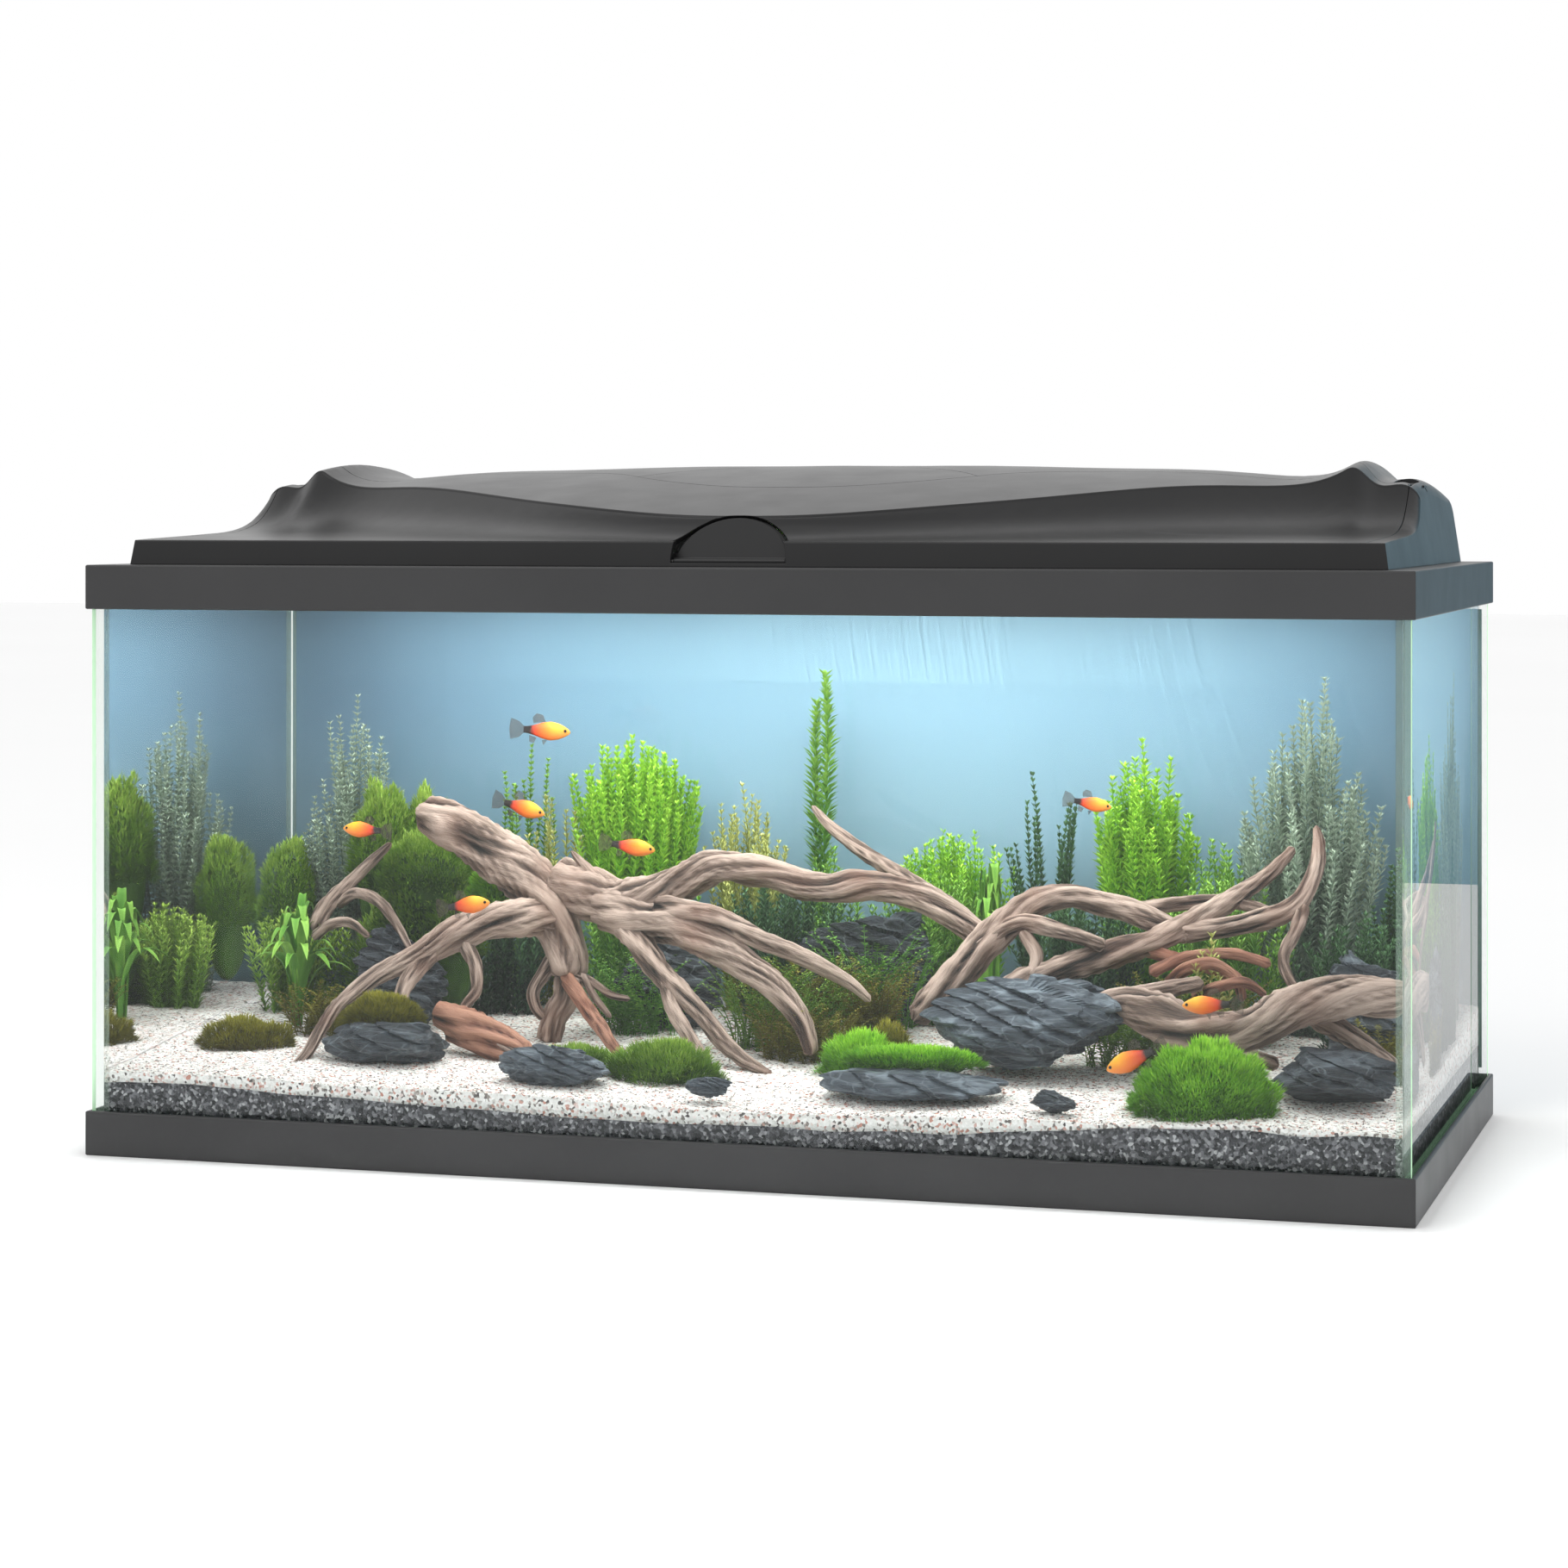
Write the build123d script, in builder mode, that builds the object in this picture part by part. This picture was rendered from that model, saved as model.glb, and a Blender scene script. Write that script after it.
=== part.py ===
"""Glass aquarium in black plastic trim, with a hinged lighting hood and a planted aquascape.

Millimetres. The origin is the middle of the underside; +X is the front view's right,
+Y is the rear and +Z is up. The hood's own heights are measured from the top frame.
"""
import math
import os

from build123d import *

os.makedirs("parts", exist_ok=True)

# --- tank: driving sizes -------------------------------------------------------------
frame_length = 806.0
frame_depth = 400.0
tank_height = 360.0
frame_height = 27.0
frame_wall = 2.5
frame_edge_round = 1.0
glass = 5.0
floor_glass = 6.0
glass_clearance = 0.5
seat_height = 11.0
ledge_thickness = 3.0
ledge_width = 18.0
flange_thickness = 3.0
flange_side = 40.0
flange_front = 46.0
silicone_gap = 1.0
silicone_leg = 4.0
film_thickness = 0.4
film_margin = 4.0
fit_gap = 0.5

# --- hood: driving sizes -------------------------------------------------------------
hood_inset_side = 18.0
hood_inset_front = 24.0
hood_wall = 2.5
band_height = 15.0
band_draft = 2.0
shadow_gap_height = 2.0
shadow_gap_depth = 1.2
crest_height = 62.4
crest_y = 65.0
ridge_front_y = -151.0
ridge_sweep = 165.0
ridge_period = 400.0
front_drop = 32.4
rear_drop = 9.0
end_drop = 10.0
side_lean = 0.15
end_round = 10.0
nose = 1.4
shoulder = 8.0
flap_gap = 0.8
cheek = 12.5
lens_half_length = 112.0
lens_front_y = -60.0
lens_back_y = 46.0
lip_gap = 1.2
lip_width = 6.0
wave_y = 26.0
wave_start_x = 290.0
flap_axis_y = 56.0
flap_axis_height = 46.0
flap_barrel = 4.0
flap_barrel_length = 10.0
flap_pin_radius = 1.5
running_clearance = 0.05
lug_thickness = 4.5
door_radius = 34.8
door_thickness = 3.0
door_lean = 36.0
door_gap = 0.6
door_recess = 3.0
door_barrel = 2.6
door_pin_radius = 1.2
stop_ring_width = 4.0
stop_ring_thickness = 2.5

# --- hood hinge, lamp and cable exit ---------------------------------------------------
hinge_x = 250.0
hinge_axis_y = frame_depth / 2 - 14
hinge_axis_height = 8.0
hinge_barrel = 4.5
hinge_web = 7.6
hinge_lug_width = 10.0
hinge_ear = 5.0
hinge_gap = 0.5
hinge_pin_radius = 2.0
hinge_base_thickness = 2.0
screw_radius = 1.5
screw_head_radius = 2.8
screw_head_height = 1.6
lamp_length = 640.0
lamp_width = 56.0
lamp_height = 12.0
lamp_wall = 1.6
lamp_y = 100.0
lamp_base_height = 32.0
lamp_cap = 8.0
lamp_arm = 3.0
lamp_arm_width = 18.0
lamp_shelf = 22.0
lamp_bracket_gap = 0.4
bracket_sheet = 2.0
lamp_lens_thickness = 2.0
led_pitch = 24.0
led_size = 5.0
led_thickness = 0.8
board_thickness = 1.6
grommet_x = 300.0
grommet_height = 22.0
grommet_hole = 3.5
grommet_body = 6.0
grommet_rim = 9.0
grommet_rim_thickness = 2.0

# --- aquascape: driving sizes ----------------------------------------------------------
gravel_depth = 22.0
sand_front = 50.0
sand_back = 72.0
scape_clearance = 0.6
wood_lift = 1.0

# --- sizes that follow -----------------------------------------------------------------
glass_length = frame_length - 2 * (frame_wall + glass_clearance)
glass_depth = frame_depth - 2 * (frame_wall + glass_clearance)
pane_bottom = seat_height + floor_glass
pane_top = tank_height - flange_thickness - glass_clearance
pane_height = pane_top - pane_bottom
inside_x = glass_length / 2 - glass
inside_y = glass_depth / 2 - glass
hood_half_length = frame_length / 2 - hood_inset_side
hood_half_depth = frame_depth / 2 - hood_inset_front
flap_half_length = hood_half_length - cheek
band_back = -hood_half_depth + band_draft + hood_wall
hood_tall = crest_height + 20.0


def save(piece, name):
    """Labels a finished piece and writes its STEP file."""
    piece.label = name
    export_step(piece, f"parts/{name}.step")


def mirror_pair(x):
    return (-x, x)


# --- plastic frames and glass ------------------------------------------------------------
def outer_band_edges(part, z):
    """The four outer edges of a frame at height z."""
    level = part.edges().filter_by_position(Axis.Z, z - 0.01, z + 0.01)
    along_x = level.filter_by(Axis.X).sort_by(Axis.Y)
    along_y = level.filter_by(Axis.Y).sort_by(Axis.X)
    return [along_x[0], along_x[-1], along_y[0], along_y[-1]]


def make_bottom_frame():
    with BuildPart() as frame:
        with BuildSketch():
            Rectangle(frame_length, frame_depth)
            Rectangle(frame_length - 2 * frame_wall, frame_depth - 2 * frame_wall, mode=Mode.SUBTRACT)
        extrude(amount=frame_height)
        with BuildSketch(Plane.XY.offset(seat_height - ledge_thickness)):
            Rectangle(frame_length - frame_wall, frame_depth - frame_wall)
            Rectangle(frame_length - 2 * ledge_width, frame_depth - 2 * ledge_width, mode=Mode.SUBTRACT)
        extrude(amount=ledge_thickness)
        fillet(outer_band_edges(frame, frame_height) + outer_band_edges(frame, 0), frame_edge_round)
    save(frame.part, "bottom_frame")


def make_top_frame():
    skirt_bottom = tank_height - frame_height
    with BuildPart() as frame:
        with BuildSketch(Plane.XY.offset(skirt_bottom)):
            Rectangle(frame_length, frame_depth)
            Rectangle(frame_length - 2 * frame_wall, frame_depth - 2 * frame_wall, mode=Mode.SUBTRACT)
        extrude(amount=frame_height)
        with BuildSketch(Plane.XY.offset(tank_height - flange_thickness)):
            Rectangle(frame_length, frame_depth)
            Rectangle(frame_length - 2 * flange_side, frame_depth - 2 * flange_front, mode=Mode.SUBTRACT)
        extrude(amount=flange_thickness)
        fillet(outer_band_edges(frame, tank_height) + outer_band_edges(frame, skirt_bottom), frame_edge_round)
        with Locations(*bracket_screw_places()):
            Hole(screw_radius, depth=flange_thickness)
    save(frame.part, "top_frame")


def make_pane(name, centre, size):
    """One sheet of glass, from its lowest face's centre."""
    with BuildPart() as pane:
        with BuildSketch(Plane(origin=centre)):
            Rectangle(size[0], size[1])
        extrude(amount=size[2])
    save(pane.part, name)


def make_glass():
    """The front and back panes run the whole length; the end panes stand between them."""
    end_pane_x = glass_length / 2 - glass / 2
    long_pane_y = glass_depth / 2 - glass / 2
    end_pane = glass_depth - 2 * glass - 2 * silicone_gap
    make_pane("glass_bottom", (0, 0, seat_height), (glass_length, glass_depth, floor_glass))
    make_pane("glass_front", (0, -long_pane_y, pane_bottom), (glass_length, glass, pane_height))
    make_pane("glass_back", (0, long_pane_y, pane_bottom), (glass_length, glass, pane_height))
    make_pane("glass_left", (-end_pane_x, 0, pane_bottom), (glass, end_pane, pane_height))
    make_pane("glass_right", (end_pane_x, 0, pane_bottom), (glass, end_pane, pane_height))


def make_corner_silicone():
    """Four upright beads: a web between the panes and a fillet inside the corner."""
    height = pane_height - silicone_leg
    with BuildPart() as beads:
        for side in (-1, 1):
            for face in (-1, 1):
                x_wall = side * inside_x
                y_wall = face * inside_y
                outline = [
                    (x_wall + side * glass, y_wall),
                    (x_wall - side * silicone_leg, y_wall),
                    (x_wall, y_wall - face * (silicone_gap + silicone_leg)),
                    (x_wall, y_wall - face * silicone_gap),
                    (x_wall + side * glass, y_wall - face * silicone_gap),
                ]
                with BuildSketch(Plane.XY.offset(pane_bottom + silicone_leg)):
                    with BuildLine():
                        Polyline(*outline, close=True)
                    make_face()
                extrude(amount=height)
    save(beads.part, "corner_silicone")


def make_floor_silicone():
    """A square bead round the floor, against all four walls."""
    with BuildPart() as bead:
        with BuildSketch(Plane.XY.offset(pane_bottom)):
            Rectangle(2 * inside_x, 2 * inside_y)
            Rectangle(2 * (inside_x - silicone_leg), 2 * (inside_y - silicone_leg), mode=Mode.SUBTRACT)
        extrude(amount=silicone_leg)
        inner_top = bead.edges().group_by(Axis.Z)[-1]
        inner = [edge for edge in inner_top if abs(edge.center().X) < inside_x - silicone_leg / 2
                 and abs(edge.center().Y) < inside_y - silicone_leg / 2]
        chamfer(inner, silicone_leg * 0.6)
    save(bead.part, "floor_silicone")


def make_background_film():
    bottom = frame_height + film_margin
    height = tank_height - 2 * frame_height - 2 * film_margin
    make_pane("background_film", (0, glass_depth / 2 + film_thickness / 2, bottom),
              (glass_length - 2 * film_margin, film_thickness, height))


# --- hood shell surfaces -----------------------------------------------------------------
def ridge_y(x):
    """The crest of the scooped front: nearest the viewer in the middle, swept back at the ends."""
    return ridge_front_y + ridge_sweep * (1 - math.cos(math.pi * x / ridge_period)) / 2


def roof_height(x, y):
    ahead = max(crest_y - y, 0) / (crest_y - ridge_front_y)
    behind = max(y - crest_y, 0) / (hood_half_depth - crest_y)
    fall = front_drop * ahead ** 1.5 + rear_drop * behind ** 2
    return crest_height - fall - end_drop * (x / hood_half_length) ** 2


def end_fall(x, height):
    """How far the rounded ends pull the roof down; the low front slope is left alone."""
    into_round = min(max(abs(x) - (hood_half_length - end_round), 0) / end_round, 1)
    share = min(max((height - band_height - 3) / 32, 0), 1)
    return end_round * (1 - math.sqrt(1 - into_round ** 2)) * share


def scoop_points(x, inset):
    """Front scoop from the band's top edge back and up to the ridge."""
    start = (-hood_half_depth + band_draft + inset, band_height - inset)
    ridge = (ridge_y(x) + 1.2 * inset, roof_height(x, ridge_y(x)) - 1.1 * inset)
    hollow = 2.2 + 6.8 * (abs(x) / hood_half_length) ** 1.2
    points = []
    for share in (0.0, 0.3, 0.55, 0.75, 0.87, 0.95, 1.0):
        rise = 0.17 * share + 0.83 * share ** hollow
        y = start[0] + share * (ridge[0] - start[0])
        z = start[1] + rise * (ridge[1] - start[1])
        points.append((y, z - end_fall(x, z)))
    return points


def roof_points(x, inset):
    """Roof from the ridge over the crest to the rear shoulder."""
    first = ridge_y(x) + 1.2 * inset
    last = hood_half_depth - shoulder - inset
    points = []
    for share in (0.0, 0.2, 0.4, 0.6, 0.8, 1.0):
        y = first + share * (last - first)
        z = roof_height(x, y - 1.2 * inset * (1 - share)) - 1.1 * inset
        points.append((y, z - end_fall(x, z)))
    return points


def station_plane(x):
    """Upright section plane that leans inwards towards the hood's ends."""
    lean = side_lean * x / hood_half_length
    return Plane(origin=(x, 0, tank_height), x_dir=(0, 1, 0), z_dir=(1, 0, lean))


def on_station(x, points):
    stretch = math.hypot(1, side_lean * x / hood_half_length)
    return [(y, z * stretch) for y, z in points]


def outer_station(x):
    """Closed outer section, with a small nose round the ridge and a round band edge."""
    scoop = scoop_points(x, 0)
    roof = roof_points(x, 0)
    tip = scoop[-1]
    scoop_end = (tip[0] - 0.25 * nose, tip[1] - nose)
    roof_start = (tip[0] + nose, tip[1] + 0.1 * nose)
    nose_mid = (tip[0] + 0.1 * nose, tip[1] - 0.2 * nose)
    band_top = scoop[0]
    band_side = (band_top[0] - 0.1, band_top[1] - 0.8)
    scoop_start = (band_top[0] + 0.9, band_top[1] + 0.02)
    shoulder_start = roof[-1]
    shoulder_end = (hood_half_depth - 1, shoulder_start[1] - 0.9 * shoulder)
    shoulder_mid = (hood_half_depth - 0.38 * shoulder, shoulder_start[1] - 0.24 * shoulder)
    path = {
        "band": on_station(x, [(-hood_half_depth, 0), band_side]),
        "edge": on_station(x, [band_side, (band_top[0] + 0.25, band_top[1] - 0.15), scoop_start]),
        "scoop": on_station(x, [scoop_start] + scoop[1:-1] + [scoop_end]),
        "nose": on_station(x, [scoop_end, nose_mid, roof_start]),
        "roof": on_station(x, [roof_start] + roof[1:]),
        "shoulder": on_station(x, [shoulder_start, shoulder_mid, shoulder_end]),
        "back": on_station(x, [shoulder_end, (hood_half_depth, 0)]),
    }
    with BuildSketch(station_plane(x)) as section:
        with BuildLine():
            Line(*path["band"])
            ThreePointArc(*path["edge"])
            Spline(*path["scoop"])
            ThreePointArc(*path["nose"])
            Spline(*path["roof"])
            ThreePointArc(*path["shoulder"])
            Line(*path["back"])
            Line((hood_half_depth, 0), (-hood_half_depth, 0))
        make_face()
    return section.sketch


def inner_station(x):
    """Closed inner section, one wall inside the outer one and open below."""
    scoop = on_station(x, scoop_points(x, hood_wall))
    roof = on_station(x, roof_points(x, hood_wall))
    front = -hood_half_depth + hood_wall
    rear = hood_half_depth - hood_wall
    below = -10.0
    rear_shoulder = (rear, roof[-1][1] - 0.8 * shoulder)
    with BuildSketch(station_plane(x)) as section:
        with BuildLine():
            Line((front, below), scoop[0])
            Spline(*scoop)
            Spline(*roof)
            Line(roof[-1], rear_shoulder)
            Line(rear_shoulder, (rear, below))
            Line((rear, below), (front, below))
        make_face()
    return section.sketch


def station_places(half_length):
    """Section places along the hood, closer together in the rounded ends."""
    spread = [0.0, 65.0, 130.0, 195.0, 260.0, 320.0, 360.0]
    near_end = [half_length - share * end_round for share in (1.0, 0.6, 0.35, 0.15, 0.0)]
    right = [x for x in spread if x < near_end[0] - 5] + near_end
    return [-x for x in reversed(right[1:])] + right


def hood_block(half_length, section):
    with BuildPart() as block:
        loft([section(x) for x in station_places(half_length)])
    return block.part


# --- hood plan regions ---------------------------------------------------------------------
def wave_line(shift):
    """Plan points of the seam behind the flap: straight ends, swept forward to the lens."""
    return [
        (wave_start_x, wave_y + shift),
        (205.0, wave_y - 4 + shift),
        (150.0, wave_y - 15 + shift),
        (lens_half_length, wave_y - 42 + shift),
    ]


def seam_zone(shift):
    """Everything behind the slanted seam, which leans back as it rises so that the flap can lift."""
    right = wave_line(shift)
    left = [(-x, y) for x, y in right]
    reach = hood_half_length + 20
    sunk = hood_tall
    plan = Plane.XY.offset(tank_height + flap_axis_height + 6 - sunk)
    with BuildPart() as zone:
        with BuildSketch(plan):
            with BuildLine(Location((0, -sunk))):
                Line((-reach, 300), (-reach, wave_y + shift))
                Line((-reach, wave_y + shift), left[0])
                Spline(*left)
                ThreePointArc(left[-1], (0, lens_front_y + shift), right[-1])
                Spline(*reversed(right))
                Line(right[0], (reach, wave_y + shift))
                Line((reach, wave_y + shift), (reach, 300))
                Line((reach, 300), (-reach, 300))
            make_face()
        extrude(amount=2 * sunk * math.sqrt(2), dir=(0, 1, 1))
    return zone.part


def lens_zone(grow):
    """Upright prism over the lens-shaped plate."""
    half = lens_half_length + grow
    tip_y = wave_y - 42
    with BuildPart() as zone:
        with BuildSketch(Plane.XY.offset(tank_height)):
            with BuildLine():
                ThreePointArc((-half, tip_y), (0, lens_front_y - 30 - grow), (half, tip_y))
                ThreePointArc((half, tip_y), (0, lens_back_y + grow), (-half, tip_y))
            make_face()
        extrude(amount=hood_tall)
    return zone.part


def flap_zone(gap):
    """Upright box between the cheeks and behind the band."""
    half = flap_half_length - gap
    front = band_back + gap
    with BuildPart() as zone:
        with BuildSketch(Plane.XY.offset(tank_height + shadow_gap_height)):
            with Locations((0, front + 150)):
                Rectangle(2 * half, 300)
        extrude(amount=hood_tall)
    return zone.part


def door_plane(depth):
    """Sketch plane of the half-round door: local x along X, local y up the lean, depth inwards."""
    lean = math.radians(door_lean)
    outward = Vector(0, -math.cos(lean), math.sin(lean))
    foot = Vector(0, -hood_half_depth + door_recess, tank_height + fit_gap)
    return Plane(origin=foot - outward * depth, x_dir=(1, 0, 0), z_dir=outward)


def half_disc(plane, radius, amount):
    """A half disc standing on its straight edge."""
    with BuildPart() as disc:
        with BuildSketch(plane):
            Circle(radius)
            with Locations((0, -radius)):
                Rectangle(4 * radius, 2 * radius, mode=Mode.SUBTRACT)
        extrude(amount=amount)
    return disc.part


def on_axis_x(x, y, z):
    """Sketch plane across a cylinder that lies along X and starts at x."""
    return Plane(origin=(x, y, z), x_dir=(0, 1, 0), z_dir=(1, 0, 0))


def rod_x(x_from, x_to, y, z, radius):
    with BuildPart() as rod:
        with BuildSketch(on_axis_x(x_from, y, z)):
            Circle(radius)
        extrude(amount=x_to - x_from)
    return rod.part


def block(x_range, y_range, z_range):
    """A plain block from its limits along each axis."""
    size = [high - low for low, high in (x_range, y_range, z_range)]
    middle = [(high + low) / 2 for low, high in (x_range, y_range, z_range)]
    with BuildPart() as solid:
        with Locations(tuple(middle)):
            Box(*size)
    return solid.part


def flap_axis():
    return flap_axis_y, tank_height + flap_axis_height


def hood_axis():
    return hinge_axis_y, tank_height + hinge_axis_height


def door_axis():
    """The door turns about its lower edge, a barrel's radius above the frame."""
    return -hood_half_depth + door_recess + door_barrel, tank_height + fit_gap + door_barrel


flap_tab_x = (flap_half_length - flap_gap - flap_barrel_length, flap_half_length - flap_gap)
flap_lug_x = (flap_tab_x[0] - fit_gap - lug_thickness, flap_tab_x[0] - fit_gap)


def flap_lugs(side):
    """Two lugs under the rear roof that carry one flap pin; their tops end inside the roof's wall."""
    y, z = flap_axis()
    inner_lug = sorted(side * x for x in flap_lug_x)
    end_lug = sorted(side * x for x in (flap_half_length + fit_gap, flap_half_length + lug_thickness - 0.2))
    tops = (z + flap_barrel + 1, z + flap_barrel - 1.5)
    return [block(limits, (y - 5, y + 8), (z - 5, top)) for limits, top in zip((inner_lug, end_lug), tops)]


def shell_openings():
    """What the flap, the lens plate and the flap's hinge tabs leave out of the shell."""
    pin_y, pin_z = flap_axis()
    cuts = [flap_zone(0) - seam_zone(flap_gap), lens_zone(0) & seam_zone(0)]
    for side in (-1, 1):
        tab = sorted(side * x for x in (flap_tab_x[0] - fit_gap, flap_half_length + fit_gap))
        cuts.append(block(tab, (pin_y - 40, pin_y + flap_barrel + 0.6), (pin_z - 6, pin_z + 20)))
    return cuts


def shell_extras(wall):
    """Lips, lugs and ledges inside and behind the shell."""
    extras = lens_lip(wall) + [stop_ring()]
    for side in (-1, 1):
        extras += flap_lugs(side)
        extras += [front_ledge(side), hinge_lug(side)]
    return extras


def pin_holes():
    """Running holes along the flap, hood and door axes."""
    holes = []
    axes = (
        (flap_axis(), hood_half_length - 4, flap_pin_radius),
        (hood_axis(), hood_half_length, hinge_pin_radius),
        (door_axis(), door_radius + 6, door_pin_radius),
    )
    for (y, z), reach, radius in axes:
        holes.append(rod_x(-reach, reach, y, z, radius + running_clearance))
    return holes


def door_recess_cuts():
    """Room for the half-round door and its barrel."""
    y, z = door_axis()
    reach = door_radius + door_gap
    recess = half_disc(door_plane(door_thickness + 0.2), reach, 30)
    return [recess, rod_x(-reach, reach, y, z, door_barrel + 0.4)]


def make_hood_shell(wall):
    grommet_place = (grommet_x, hood_half_depth, tank_height + grommet_height)
    with BuildPart() as shell:
        add(wall)
        add(shell_openings(), mode=Mode.SUBTRACT)
        add(shell_extras(wall))
        add(door_recess_cuts(), mode=Mode.SUBTRACT)
        add(door_cheeks())
        add(under_hood(), mode=Mode.SUBTRACT)
        add(shadow_groove(), mode=Mode.SUBTRACT)
        add(pin_holes(), mode=Mode.SUBTRACT)
        with Locations(Plane(origin=grommet_place, z_dir=(0, 1, 0))):
            Hole(grommet_body, depth=10)
    save(shell.part, "hood_shell")


def lens_lip(wall):
    """Seat under the lens plate: the roof's own shape let down, and a web that hangs it from the roof."""
    seat = wall.moved(Location((0, 0, -hood_wall - lip_gap)))
    web = wall.moved(Location((0, 0, -0.6 * hood_wall)))
    seat = seat & (lens_zone(lip_width / 2) - lens_zone(-lip_width)) & seam_zone(-1)
    web = web & (lens_zone(lip_width / 2) - lens_zone(0.3)) & seam_zone(1)
    return [seat, web]


def front_ledge(side):
    """Strip behind the band that the flap's front edge rests on."""
    limits = sorted(side * x for x in (door_radius + 5, hood_half_length - 2))
    top = tank_height + band_height - hood_wall - 0.6
    return block(limits, (band_back - 1.5, band_back + 7), (top - 2.5, top))


def hinge_lug(side):
    """Rear lug with a barrel end, which turns between the bracket's ears."""
    y, z = hood_axis()
    x_from = side * hinge_x - hinge_lug_width / 2
    x_to = x_from + hinge_lug_width
    arm = block((x_from, x_to), (hood_half_depth - hood_wall, y), (z - hinge_web / 2, z + hinge_web / 2))
    return arm + rod_x(x_from, x_to, y, z, hinge_barrel)


def stop_ring():
    """Half ring behind the feeding door, which it closes against."""
    depth = door_thickness + 0.2 + stop_ring_thickness
    ring = half_disc(door_plane(depth), door_radius + door_gap + 2, stop_ring_thickness)
    hole = half_disc(door_plane(depth + 1), door_radius - stop_ring_width, stop_ring_thickness + 2)
    return ring - hole


def door_cheeks():
    """Ears beside the door that carry its pin and join the stop ring to the band."""
    y, z = door_axis()
    cheeks = []
    for side in (-1, 1):
        limits = sorted(side * x for x in (door_radius + door_gap, door_radius + 5.5))
        cheeks.append(block(limits, (-hood_half_depth + 1.5, y + 10), (tank_height, z + 5)))
    return cheeks


def under_hood():
    """The frame's side of the hood's foot, which the leaning door seat would reach into."""
    half = hood_half_length + 1
    return block((-half, half), (-hood_half_depth - 1, hood_half_depth + 1), (tank_height - 30, tank_height))


def shadow_groove():
    """Shallow rebate round the foot of the hood."""
    with BuildPart() as groove:
        with BuildSketch(Plane.XY.offset(tank_height)):
            Rectangle(2 * hood_half_length + 40, 2 * hood_half_depth + 4)
            Rectangle(2 * (hood_half_length - shadow_gap_depth), 2 * (hood_half_depth - shadow_gap_depth),
                      mode=Mode.SUBTRACT)
        extrude(amount=shadow_gap_height)
    lug_room = block((-hood_half_length - 30, hood_half_length + 30),
                     (hood_half_depth - shadow_gap_depth, hood_half_depth + 40),
                     (tank_height - 1, tank_height + hood_tall))
    return groove.part - lug_room


def make_front_flap(wall):
    pin_y, pin_z = flap_axis()
    with BuildPart() as flap:
        add(wall)
        add(flap_zone(flap_gap / 2), mode=Mode.INTERSECT)
        add(seam_zone(0), mode=Mode.SUBTRACT)
        for side in (-1, 1):
            limits = sorted(side * x for x in flap_tab_x)
            add(block(limits, (pin_y - 38, pin_y), (pin_z - 2, pin_z + flap_barrel - 1)))
            add(rod_x(*limits, pin_y, pin_z, flap_barrel))
            pin_hole = flap_pin_radius + running_clearance
            add(rod_x(limits[0] - 1, limits[1] + 1, pin_y, pin_z, pin_hole), mode=Mode.SUBTRACT)
        add(half_disc(door_plane(14), door_radius + door_gap + 2.4, 45), mode=Mode.SUBTRACT)
    save(flap.part, "front_flap")
    return flap.part


def make_lens_plate(wall):
    with BuildPart() as plate:
        add(wall)
        add(lens_zone(-0.5), mode=Mode.INTERSECT)
        add(seam_zone(flap_gap), mode=Mode.INTERSECT)
    save(plate.part, "lens_plate")


def make_flap_pins():
    y, z = flap_axis()
    with BuildPart() as pins:
        for side in (-1, 1):
            limits = sorted(side * x for x in (flap_lug_x[0], hood_half_length - 9.5))
            add(rod_x(*limits, y, z, flap_pin_radius))
    save(pins.part, "flap_pins")


def make_feed_door():
    y, z = door_axis()
    half = door_radius - 0.4
    with BuildPart() as door:
        add(half_disc(door_plane(door_thickness), door_radius, door_thickness))
        add(block((-50, 50), (y - 10, y + 10), (z - 10, z)), mode=Mode.SUBTRACT)
        add(rod_x(-half, half, y, z, door_barrel))
        add(rod_x(-half - 1, half + 1, y, z, door_pin_radius + running_clearance), mode=Mode.SUBTRACT)
    save(door.part, "feed_door")


def make_feed_door_pin():
    y, z = door_axis()
    reach = door_radius + 5
    with BuildPart() as pin:
        add(rod_x(-reach, reach, y, z, door_pin_radius))
    save(pin.part, "feed_door_pin")


# --- hood hinge ------------------------------------------------------------------------------
def bracket_screw_places():
    """Screw places on the rear flange, on the underside face of each screw head."""
    base_top = tank_height
    return [(side * hinge_x + step, frame_depth / 2 - 6, base_top) for side in (-1, 1) for step in (-6.5, 6.5)]


def make_hinge_brackets():
    """Base plates with two ears each; the hood's lugs turn between them."""
    y, z = hood_axis()
    half = hinge_lug_width / 2 + hinge_gap + hinge_ear
    base_top = tank_height + hinge_base_thickness
    with BuildPart() as brackets:
        for side in (-1, 1):
            centre = side * hinge_x
            add(block((centre - half, centre + half), (y - 6, frame_depth / 2 - 1.5), (tank_height, base_top)))
            for end in (-1, 1):
                limits = sorted(centre + end * x for x in (half - hinge_ear, half))
                add(block(limits, (y - hinge_web / 2, y + hinge_web / 2), (tank_height, z)))
                add(rod_x(*limits, y, z, hinge_barrel))
            add(rod_x(centre - half, centre + half, y, z, hinge_pin_radius), mode=Mode.SUBTRACT)
        with Locations(*[(x, screw_y, base_top) for x, screw_y, _ in bracket_screw_places()]):
            Hole(screw_radius, depth=hinge_base_thickness)
    save(brackets.part, "hood_hinge_brackets")


def make_hinge_pins():
    y, z = hood_axis()
    half = hinge_lug_width / 2 + hinge_gap + hinge_ear
    with BuildPart() as pins:
        for side in (-1, 1):
            add(rod_x(side * hinge_x - half, side * hinge_x + half, y, z, hinge_pin_radius))
    save(pins.part, "hood_hinge_pins")


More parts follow.
